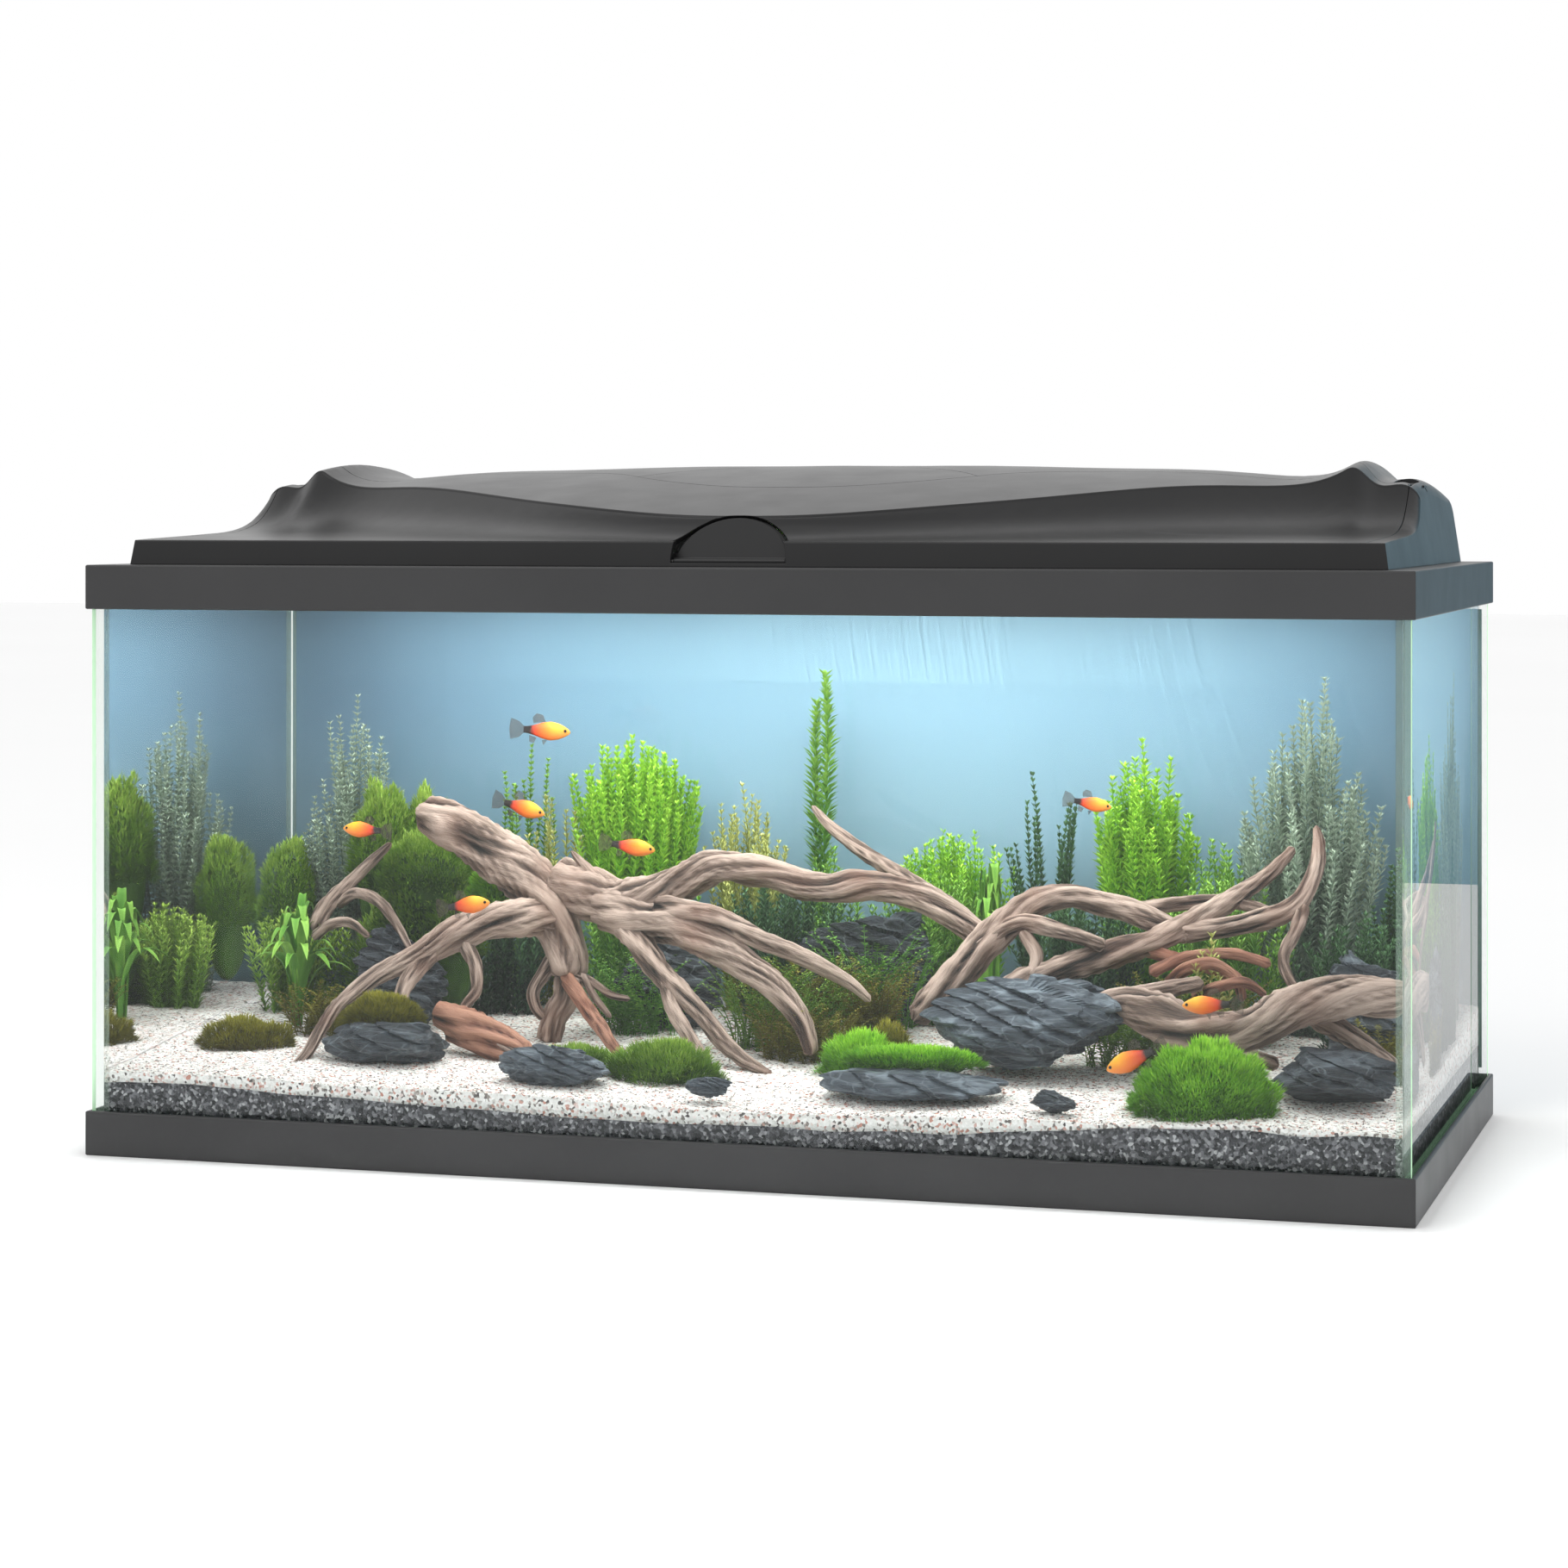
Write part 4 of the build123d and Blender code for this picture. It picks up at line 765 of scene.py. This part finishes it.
def make_wood(name, pale_limbs, red_limbs, replaced, seed):
    gather = Gather()
    for number, limb in enumerate(pale_limbs):
        wood_limb(gather, limb, seed + number)
    for number, limb in enumerate(red_limbs):
        wood_limb(gather, limb, seed + 50 + number, 1)
    gather.piece(name, [WOOD, WOOD_RED], replaces=replaced, slot="driftwood")


def make_driftwood():
    make_wood("root_stump", STUMP, STUMP_RED, ("driftwood_stump",), 200)
    make_wood("root_right", RIGHT, RIGHT_RED, ("driftwood_right",), 300)
    make_wood("root_front_right", FRONT_RIGHT, [], ("driftwood_front_right",), 400)
    make_wood("root_snags", SNAGS, [], (), 500)


# --- plants --------------------------------------------------------------------------------------------
BRIGHT = leaf_material("leaf_bright", (0.03, 0.10, 0.005), (0.17, 0.44, 0.02), (0.52, 0.85, 0.08))
FRESH = leaf_material("leaf_fresh", (0.02, 0.07, 0.008), (0.10, 0.28, 0.03), (0.36, 0.62, 0.10))
PALE = leaf_material("leaf_pale", (0.08, 0.12, 0.09), (0.24, 0.32, 0.24), (0.5, 0.6, 0.46))
DARK = leaf_material("leaf_dark", (0.006, 0.02, 0.012), (0.03, 0.08, 0.035), (0.12, 0.26, 0.1))
OLIVE = leaf_material("leaf_olive", (0.04, 0.03, 0.004), (0.16, 0.15, 0.015), (0.38, 0.36, 0.04))
MOSS = leaf_material("leaf_moss", (0.02, 0.06, 0.004), (0.13, 0.27, 0.02), (0.42, 0.58, 0.10))
YELLOW = leaf_material("leaf_yellow", (0.08, 0.09, 0.02), (0.32, 0.36, 0.07), (0.66, 0.68, 0.24))


STEM_SWAY = 6.0
LEAF_TAPER = 0.55


def add_stem(gather, points, width):
    """A thin three-sided stem."""
    across, other = ring_frames(points)
    size = np.linspace(width, width * 0.4, len(points))[:, None]
    rings = [points + size * (math.cos(a) * across + math.sin(a) * other) for a in (0, 2.1, 4.2)]
    verts = np.stack(rings, axis=1).reshape(-1, 3)
    gather.add(verts, grid_faces(len(points), 3, wrap=True), 0, tint=0.35, shade=0.1)


def stem_plant(gather, rng, centre, half, foot, height, stems, gap, leaf, width, whorl, lift, low):
    """Upright stems with rings of small leaves, tallest in the middle of the clump."""
    for _ in range(stems):
        angle, out = rng.uniform(0, math.tau), math.sqrt(rng.uniform(0, 1))
        base = centre + half * 0.55 * out * np.array((math.cos(angle), math.sin(angle)))
        top = centre + half * 0.98 * out * np.array((math.cos(angle), math.sin(angle)))
        tall = height * (1 - (1 - low) * out ** 1.4) * rng.uniform(0.8, 1.0)
        levels = max(int(tall / gap), 4)
        t = np.linspace(0, 1, levels)
        wave = np.sin(t * rng.uniform(2, 4) + rng.uniform(0, 6))[:, None]
        bend = STEM_SWAY * wave * unit(rng.normal(size=2)) * t[:, None]
        flat = base + (top - base) * t[:, None] ** 1.4 + bend
        flat = np.clip(flat, centre - half, centre + half)
        points = np.column_stack([flat, foot + tall * t])
        add_stem(gather, points, 0.5)
        turn = np.arange(levels)[:, None] * 0.9 + np.arange(whorl) * math.tau / whorl + rng.uniform(0, 6)
        turn = turn + rng.normal(0, 0.25, turn.shape)
        rise = lift + rng.normal(0, 0.2, turn.shape) + 0.5 * t[:, None] ** 3
        direction = np.stack([np.cos(turn), np.sin(turn), rise], axis=-1).reshape(-1, 3)
        start = np.repeat(points, whorl, axis=0) + rng.normal(0, 0.3, (levels * whorl, 3))
        size = leaf * (1 - LEAF_TAPER * np.repeat(t, whorl) ** 2) * rng.uniform(0.75, 1.15, levels * whorl)
        # Painted light and shade: lower whorls darker, upper whorls lighter towards the lamp, with random
        # variation.
        tint = np.clip(0.25 + 0.6 * np.repeat(t, whorl) + rng.normal(0, 0.13, levels * whorl), 0, 1)
        leaves(gather, start, direction, size, width, tint)


def strap_leaf(gather, root, angle, reach, tall, width, tint):
    """An arching strap leaf with a folded midrib."""
    t = np.linspace(0, 1, 12)
    out = reach * (0.25 * t + 0.75 * t ** 1.6)
    arch = tall * (2.84 * t - 2.02 * t ** 2)
    line = root + np.stack([out * math.cos(angle), out * math.sin(angle), arch], axis=-1)
    side = np.array((-math.sin(angle), math.cos(angle), 0.0))
    wide = width * np.sin((t * 0.93 + 0.07) * math.pi)[:, None] ** 0.6
    fold = np.array((0, 0, 0.16)) * wide
    verts = np.stack([line + side * wide / 2 + fold, line, line - side * wide / 2 + fold], axis=1)
    verts = verts.reshape(-1, 3)
    # Painted shade darkens the folded midrib; painted light makes the leaf lighter towards its tip.
    shade = np.tile((0.56, 0.07, 0.56), len(t)) + np.repeat(t, 3) * 0.3
    gather.add(verts, grid_faces(len(t), 3), 0, tint=tint + 0.3 * np.repeat(t, 3), shade=shade)


def sword_plant(gather, rng, centre, half, foot, height, count=34):
    for number in range(count):
        outer = 1 - number / count
        root = np.array((centre[0], centre[1], foot)) + rng.normal(0, 1.2, 3) * (1, 1, 0)
        tall = height * (1.0 - 0.45 * outer) * rng.uniform(0.85, 1.0)
        angle = number * 2.4 + rng.uniform(-0.25, 0.25)
        reach = min(half) * (0.25 + 0.85 * outer)
        strap_leaf(gather, root, angle, reach, tall, 7.5 * rng.uniform(0.8, 1.1), rng.uniform(0.3, 0.6))


UPWARD_PULL = 0.8


def moss_cushion(gather, rng, centre, half, foot, height, blades, leaf, width=0.9):
    """A dome of short blades over a core painted dark as shade; blades that face up and stand out on lumps
    are painted lighter.
    """
    verts, faces = ball(3)
    # Painted shade: a dark ball fills the inside of the cushion.
    painted_shade_core = verts * (half[0] * 0.7, half[1] * 0.7, height * 0.7) + (centre[0], centre[1], foot)
    gather.add(painted_shade_core, faces, 0, tint=0.12, shade=0.0)
    turn = rng.uniform(0, math.tau, blades)
    high = rng.uniform(-0.1, 1, blades)
    ring = np.sqrt(np.clip(1 - high ** 2, 0, 1))
    facing = np.stack([ring * np.cos(turn), ring * np.sin(turn), high], axis=-1)
    lumps = 1 + 0.2 * noise(facing * 3.2 + centre[0], 9) + 0.12 * noise(facing * 8, 10)
    reach = np.array((half[0], half[1], height)) * 0.86
    places = facing * reach * lumps[:, None] + (centre[0], centre[1], foot)
    direction = facing + rng.normal(0, 0.45, (blades, 3)) + (0, 0, UPWARD_PULL)
    # Painted light: blades facing up and on the outer lumps are lighter, those in the hollows darker, plus
    # random variation.
    tint = np.clip(0.15 + 0.6 * high + 0.8 * (lumps - 1) + rng.normal(0, 0.15, blades), 0, 1)
    leaves(gather, places, direction, leaf * rng.uniform(0.6, 1.3, blades), width, tint, 0.1)


def fern_clump(gather, rng, centre, half, foot, height, fronds=70):
    """Arching fronds with fine leaflets on both sides."""
    for _ in range(fronds):
        angle = rng.uniform(0, math.tau)
        out = 0.6 * math.sqrt(rng.uniform(0, 1))
        start = centre + half * out * np.array((math.cos(angle), math.sin(angle)))
        heading = rng.uniform(0, math.tau)
        length = height * rng.uniform(0.5, 1.0)
        t = np.linspace(0, 1, 16)
        out = length * 0.45 * t ** 1.5
        flat = start + out[:, None] * np.array((math.cos(heading), math.sin(heading)))
        flat = np.clip(flat, centre - half, centre + half)
        points = np.column_stack([flat, foot + length * (1.05 * t - 0.3 * t ** 3)])
        add_stem(gather, points, 0.45)
        side = np.array((-math.sin(heading), math.cos(heading), 0.0))
        for sign in (-1, 1):
            direction = sign * side + np.array((math.cos(heading) * 0.5, math.sin(heading) * 0.5, 0.5))
            direction = direction + rng.normal(0, 0.15, (16, 3))
            # Painted light: leaflets get lighter along the frond towards its tip.
            leaves(gather, points, direction, (7 * (1 - 0.7 * t)) * rng.uniform(0.8, 1.2, 16), 1.5,
                   np.clip(0.2 + 0.5 * t + rng.normal(0, 0.1, 16), 0, 1))


STEM_PLANTS = {
    # CAD node: (material, stems, whorl gap, leaf, leaf width, leaves a whorl, lift, lowest stem share)
    "plant_pale_tall_left": (PALE, 90, 3.8, 9.0, 1.4, 6, 0.6, 0.45),
    "plant_thin_stems": (FRESH, 9, 3.6, 8.0, 2.2, 6, 0.9, 0.7),
    "plant_bright_bush": (BRIGHT, 150, 3.8, 12.0, 2.0, 6, 1.1, 0.8),
    "plant_pale_centre": (YELLOW, 60, 4.4, 10.0, 1.5, 5, 1.1, 0.6),
    "plant_spire": (FRESH, 2, 3.6, 17.0, 2.6, 8, 0.9, 0.95),
    "plant_low_bush": (BRIGHT, 84, 4.0, 11.0, 1.7, 5, 1.0, 0.75),
    "plant_dark_stems": (DARK, 14, 4.0, 9.0, 2.0, 6, 1.5, 0.6),
    "plant_feathery": (BRIGHT, 90, 4.0, 13.0, 2.0, 6, 0.8, 0.65),
    "plant_grey_tall": (PALE, 84, 3.8, 12.0, 1.7, 6, 0.8, 0.5),
    "plant_right_corner": (DARK, 34, 3.6, 9.0, 2.4, 6, 0.8, 0.5),
}


def plant_room(node_name):
    """Middle, half widths, foot and height of a plant's CAD solid, in millimetres."""
    low, high = (np.array(corner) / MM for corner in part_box(node_name))
    middle, half = (low + high) / 2, (high - low) / 2
    return middle[:2], half[:2], low[2] - 4, high[2] - low[2] + 4


BUSH_MOUNDS = [
    # x, y, foot, half x, half y, height, blades
    (-286, 84, 62, 44, 34, 74, 9000),
    (-262, 68, 112, 33, 26, 74, 8000),
    (-300, 104, 148, 25, 24, 66, 6000),
    (-272, 108, 150, 22, 22, 58, 5000),
    (-238, 60, 110, 20, 20, 56, 4500),
]


def make_plants():
    for seed, (name, (material, stems, gap, leaf, width, whorl, lift, low)) in enumerate(STEM_PLANTS.items()):
        gather = Gather()
        rng = np.random.default_rng(700 + seed)
        stem_plant(gather, rng, *plant_room(name), stems, gap, leaf, width, whorl, lift, low)
        gather.piece(name.replace("plant", "leaves"), [material], replaces=(name,), slot="leaf_green",
                     smooth=False)
    gather = Gather()
    rng = np.random.default_rng(690)
    for x, y, foot, half_x, half_y, height, blades in BUSH_MOUNDS:
        moss_cushion(gather, rng, (x, y), (half_x, half_y), foot, height, blades, 6.5, 1.3)
    gather.piece("leaves_bush_left", [MOSS], replaces=("plant_bush_left",), slot="leaf_green", smooth=False)
    for seed, name in enumerate(("plant_sword_left", "plant_sword_right")):
        gather = Gather()
        sword_plant(gather, np.random.default_rng(800 + seed), *plant_room(name))
        gather.piece(name.replace("plant", "leaves"), [FRESH], replaces=(name,), slot="leaf_green")
    gather = Gather()
    fern_clump(gather, np.random.default_rng(820), *plant_room("plant_ferns_centre"))
    gather.piece("leaves_ferns_centre", [OLIVE], replaces=("plant_ferns_centre",), slot="leaf_green",
                 smooth=False)
    for seed, (name, material, blades) in enumerate((("moss_front_bush", BRIGHT, 17000),
                                                     ("moss_carpet_left", MOSS, 6000),
                                                     ("moss_carpet_right", BRIGHT, 5000))):
        gather = Gather()
        centre, half, foot, height = plant_room(name)
        moss_cushion(gather, np.random.default_rng(840 + seed), centre, half, foot, height, blades, 7.5)
        gather.piece(name.replace("moss", "cushion"), [material], replaces=(name,), slot="moss_green",
                     smooth=False)


UNDERGROWTH = [
    # name, kind, material, x, y, half x, half y, foot, height, blades or stems
    ("tuft_stump_top", "moss", MOSS, -256, 60, 36, 24, 150, 36, 7000),
    ("tuft_stump_low", "moss", BRIGHT, -196, 24, 22, 18, 146, 22, 4500),
    ("tuft_left_stone", "moss", OLIVE, -240, -92, 26, 20, 74, 18, 6500),
    ("tuft_back_left", "moss", MOSS, -372, 120, 20, 30, 120, 60, 5000),
    ("tuft_stones_left", "moss", OLIVE, -340, -70, 34, 26, 54, 18, 5000),
    ("tuft_stump_foot", "moss", MOSS, -112, -108, 30, 18, 54, 14, 4500),
    ("tuft_flat_stone", "moss", BRIGHT, 104, -120, 44, 18, 68, 9, 5500),
    ("tuft_layered_side", "moss", OLIVE, 74, -60, 20, 18, 58, 26, 4000),
    ("ferns_middle", "fern", OLIVE, -4, 40, 48, 34, 60, 74, 90),
    ("ferns_behind", "fern", FRESH, 44, 60, 44, 26, 70, 90, 70),
    ("ferns_right", "fern", OLIVE, 250, 20, 60, 30, 62, 66, 80),
    ("ferns_left", "fern", DARK, -300, 70, 40, 30, 62, 60, 60),
    ("hedge_far_left", "stem", MOSS, -352, 70, 40, 40, 64, 70, 60),
    ("hedge_left", "stem", DARK, -214, 96, 46, 30, 66, 92, 60),
    ("hedge_left_centre", "stem", FRESH, -120, 100, 54, 26, 66, 92, 74),
    ("hedge_centre", "stem", DARK, -24, 104, 50, 26, 68, 96, 66),
    ("hedge_right_centre", "stem", FRESH, 74, 116, 46, 26, 68, 100, 66),
    ("hedge_right", "stem", DARK, 168, 84, 50, 28, 66, 96, 66),
    ("hedge_far_right", "stem", FRESH, 262, 76, 48, 34, 64, 104, 66),
    ("hedge_corner", "stem", DARK, 346, 50, 40, 34, 62, 90, 60),
    ("ferns_under_bridge", "fern", MOSS, 0, -4, 56, 30, 56, 84, 110),
    ("ferns_under_bridge_low", "fern", OLIVE, 22, -42, 50, 26, 54, 52, 90),
    ("ferns_trunk_foot", "fern", FRESH, -104, 30, 46, 28, 58, 74, 80),
    ("ferns_left_low", "fern", OLIVE, -300, -10, 50, 30, 56, 46, 90),
    ("ferns_right_pile", "fern", MOSS, 224, -20, 56, 30, 58, 56, 90),
    ("ferns_corner_low", "fern", OLIVE, 372, -20, 20, 40, 58, 50, 50),
    ("stems_yellow", "stem", YELLOW, -186, 128, 20, 18, 68, 166, 10),
    ("stems_low_back", "stem", BRIGHT, 96, 132, 22, 18, 68, 130, 22),
    ("stems_back_right", "stem", FRESH, 256, 110, 26, 22, 68, 130, 24),
    ("stems_small_front", "stem", YELLOW, 268, -30, 12, 12, 60, 84, 5),
    ("stems_back_centre", "stem", FRESH, -4, 132, 30, 22, 68, 112, 20),
]


def make_undergrowth():
    """Small clumps that fill the gaps between the main plants, the stones and the roots."""
    for seed, (name, kind, material, x, y, half_x, half_y, foot, height, count) in enumerate(UNDERGROWTH):
        gather = Gather()
        rng = np.random.default_rng(900 + seed)
        room = (np.array((x, y), dtype=float), np.array((half_x, half_y), dtype=float), foot, height)
        if kind == "moss":
            moss_cushion(gather, rng, *room, count, 5.5)
        elif kind == "fern":
            fern_clump(gather, rng, *room, count)
        else:
            stem_plant(gather, rng, *room, count, 3.9, 11.0, 1.6, 5, 1.0, 0.75)
        slot = "moss_green" if kind == "moss" else "leaf_green"
        gather.piece(name, [material], slot=slot, smooth=False)


# --- fish ------------------------------------------------------------------------------------------------
FISH = [
    # x, y, z of the middle, length, heading in degrees (0 swims to the right), nose up in degrees
    (-179, 60, 252, 40, 4, -3),
    (-188, 40, 204, 37, -6, -14),
    (-286, 20, 188, 34, 176, 2),
    (-110, 20, 182, 36, 8, -8),
    (-197, -60, 148, 36, -4, 8),
    (175, 80, 212, 30, 10, -10),
    (277, -100, 108, 36, 174, -4),
    (240, -150, 81, 40, 168, -24),
]
BODY_HEIGHT = [(0.0, 0.02), (0.04, 0.09), (0.12, 0.17), (0.25, 0.26), (0.42, 0.31), (0.6, 0.26), (0.78, 0.16),
               (0.92, 0.115), (1.0, 0.11)]


def fin(outline, mark):
    """A thin fan between points in the fish's middle plane, with a slight wave."""
    points = np.array([(x, 0.012 * math.sin(9 * x + 5 * z), z) for x, z in outline])
    middle = points.mean(axis=0)
    verts = np.concatenate([points, middle[None]])
    index = np.arange(len(points))
    faces = np.stack([index, np.roll(index, -1), np.full(len(points), len(points))], axis=-1)
    return verts, faces, mark


def make_fish():
    skin, fins, eye = fish_material(), fin_material(), eye_material()
    t, height = np.array(BODY_HEIGHT).T
    along = np.linspace(0, 1, 26)
    tall = np.interp(along, t, height)
    ring = np.linspace(0, math.tau, 18, endpoint=False)
    for number, (x, y, z, length, heading, pitch) in enumerate(FISH):
        gather = Gather()
        aa, rr = np.meshgrid(along, ring, indexing="ij")
        size = np.repeat(tall[:, None], 18, axis=1)
        body = np.stack([0.5 - 0.78 * aa, 0.24 * size * np.cos(rr), 0.5 * size * np.sin(rr)], axis=-1)
        back_to_belly = np.clip(0.5 + np.sin(rr.ravel()), 0, 1)
        skin_faces = grid_faces(26, 18, wrap=True)
        parts = [(body.reshape(-1, 3), skin_faces, 0, aa.ravel(), back_to_belly)]
        tail = [(-0.27, 0.05), (-0.36, 0.13), (-0.5, 0.17), (-0.53, 0.0), (-0.5, -0.17), (-0.36, -0.13),
                (-0.27, -0.05)]
        dorsal = [(0.08, 0.14), (0.03, 0.25), (-0.08, 0.27), (-0.14, 0.2), (-0.12, 0.11)]
        anal = [(-0.06, -0.12), (-0.1, -0.21), (-0.18, -0.19), (-0.18, -0.08)]
        pelvic = [(0.12, -0.14), (0.06, -0.24), (0.03, -0.15)]
        for outline in (tail, dorsal, anal, pelvic):
            verts, faces, mark = fin(outline, 1)
            parts.append((verts, faces, mark, 1.0, 0.5))
        ball_verts, ball_faces = ball(2)
        for side in (-1, 1):
            parts.append((ball_verts * 0.026 + (0.42, side * 0.036, 0.016), ball_faces, 2, 0.0, 0.5))
        yaw, tip = math.radians(heading), math.radians(pitch)
        for verts, faces, mark, place, high in parts:
            vx = verts[:, 0] * math.cos(tip) - verts[:, 2] * math.sin(tip)
            vz = verts[:, 0] * math.sin(tip) + verts[:, 2] * math.cos(tip)
            wx = vx * math.cos(yaw) - verts[:, 1] * math.sin(yaw)
            wy = vx * math.sin(yaw) + verts[:, 1] * math.cos(yaw)
            moved = np.stack([wx, wy, vz], axis=-1) * length + (x, y, z)
            gather.add(moved, faces, mark, along=place, high=high)
        gather.piece(f"platy_{number + 1}", [skin, fins, eye])


# --- stage, lights and camera ----------------------------------------------------------------------------
def area_light(name, place, target, size, power, color=(1, 1, 1), hidden=False):
    data = bpy.data.lights.new(name, "AREA")
    data.shape = "RECTANGLE"
    data.size, data.size_y = size
    data.energy = power
    data.color = color
    light = bpy.data.objects.new(name, data)
    light.location = place
    light.rotation_euler = (Vector(target) - Vector(place)).to_track_quat("-Z", "Y").to_euler()
    if hidden:
        light.visible_camera = False
        light.visible_glossy = False
        light.visible_transmission = False
    bpy.context.scene.collection.objects.link(light)


def make_card():
    """A blue-grey card behind and to the right that only reflections see; it tones the right-hand pane."""
    mesh = bpy.data.meshes.new("card")
    mesh.from_pydata([(0.5, 1.7, 0), (2.4, 1.7, 0), (2.4, 1.7, 1.6), (0.5, 1.7, 1.6)], [], [(0, 1, 2, 3)])
    material, tree, shader = start_material("card_paper")
    cloud = noise_value(tree, object_point(tree), 1.5)
    color = ramp(tree, cloud, [(0.3, (0.2, 0.34, 0.42)), (0.7, (0.22, 0.37, 0.45))])
    tree.links.new(color, shader.inputs["Base Color"])
    shader.inputs["Roughness"].default_value = 0.9
    mesh.materials.append(material)
    card = bpy.data.objects.new("card", mesh)
    bpy.context.scene.collection.objects.link(card)
    card.visible_camera = card.visible_diffuse = card.visible_transmission = card.visible_shadow = False


def make_stage():
    bpy.context.scene.view_settings.view_transform = "Standard"
    world = bpy.data.worlds.new("studio")
    bpy.context.scene.world = world
    world.use_nodes = True
    world.node_tree.nodes["Background"].inputs[0].default_value = (1, 1, 1, 1)
    world.node_tree.nodes["Background"].inputs[1].default_value = 1.0
    size = 12.0
    mesh = bpy.data.meshes.new("floor")
    corners = [(-size, -size, 0), (size, -size, 0), (size, size, 0), (-size, size, 0)]
    mesh.from_pydata(corners, [], [(0, 1, 2, 3)])
    material, tree, shader = start_material("pale_floor")
    cloud = noise_value(tree, object_point(tree), 0.8)
    color = ramp(tree, cloud, [(0.3, (0.94, 0.94, 0.94)), (0.7, (0.96, 0.96, 0.96))])
    tree.links.new(color, shader.inputs["Base Color"])
    shader.inputs["Roughness"].default_value = 0.6
    mesh.materials.append(material)
    floor = bpy.data.objects.new("floor", mesh)
    bpy.context.scene.collection.objects.link(floor)
    area_light("key", (-1.2, -2.2, 2.4), (0, 0, 0.3), (2.0, 1.4), 18)
    area_light("fill", (2.4, -1.6, 1.4), (0.2, 0, 0.3), (1.6, 1.6), 7)
    area_light("tank_lamp", (0, 0, 0.352), (0, 0, 0), (0.70, 0.28), 3.2, (1, 0.99, 0.96), hidden=True)
    area_light("tank_front_wash", (0, -0.12, 0.354), (0, 0.12, 0.1), (0.7, 0.08), 0.7, hidden=True)


def make_camera():
    data = bpy.data.cameras.new("camera")
    data.sensor_width = 36.0
    data.lens = 85.3
    data.shift_y = -0.1743
    camera = bpy.data.objects.new("camera", data)
    camera.location = (0.6586, -2.2464, 0.3930)
    camera.rotation_euler = (math.radians(90), 0, math.radians(16.77))
    bpy.context.scene.collection.objects.link(camera)
    bpy.context.scene.camera = camera


make_camera()
make_stage()
make_card()
finish_cad()
make_beds()
make_water()
make_rocks()
make_driftwood()
make_plants()
make_undergrowth()
make_fish()
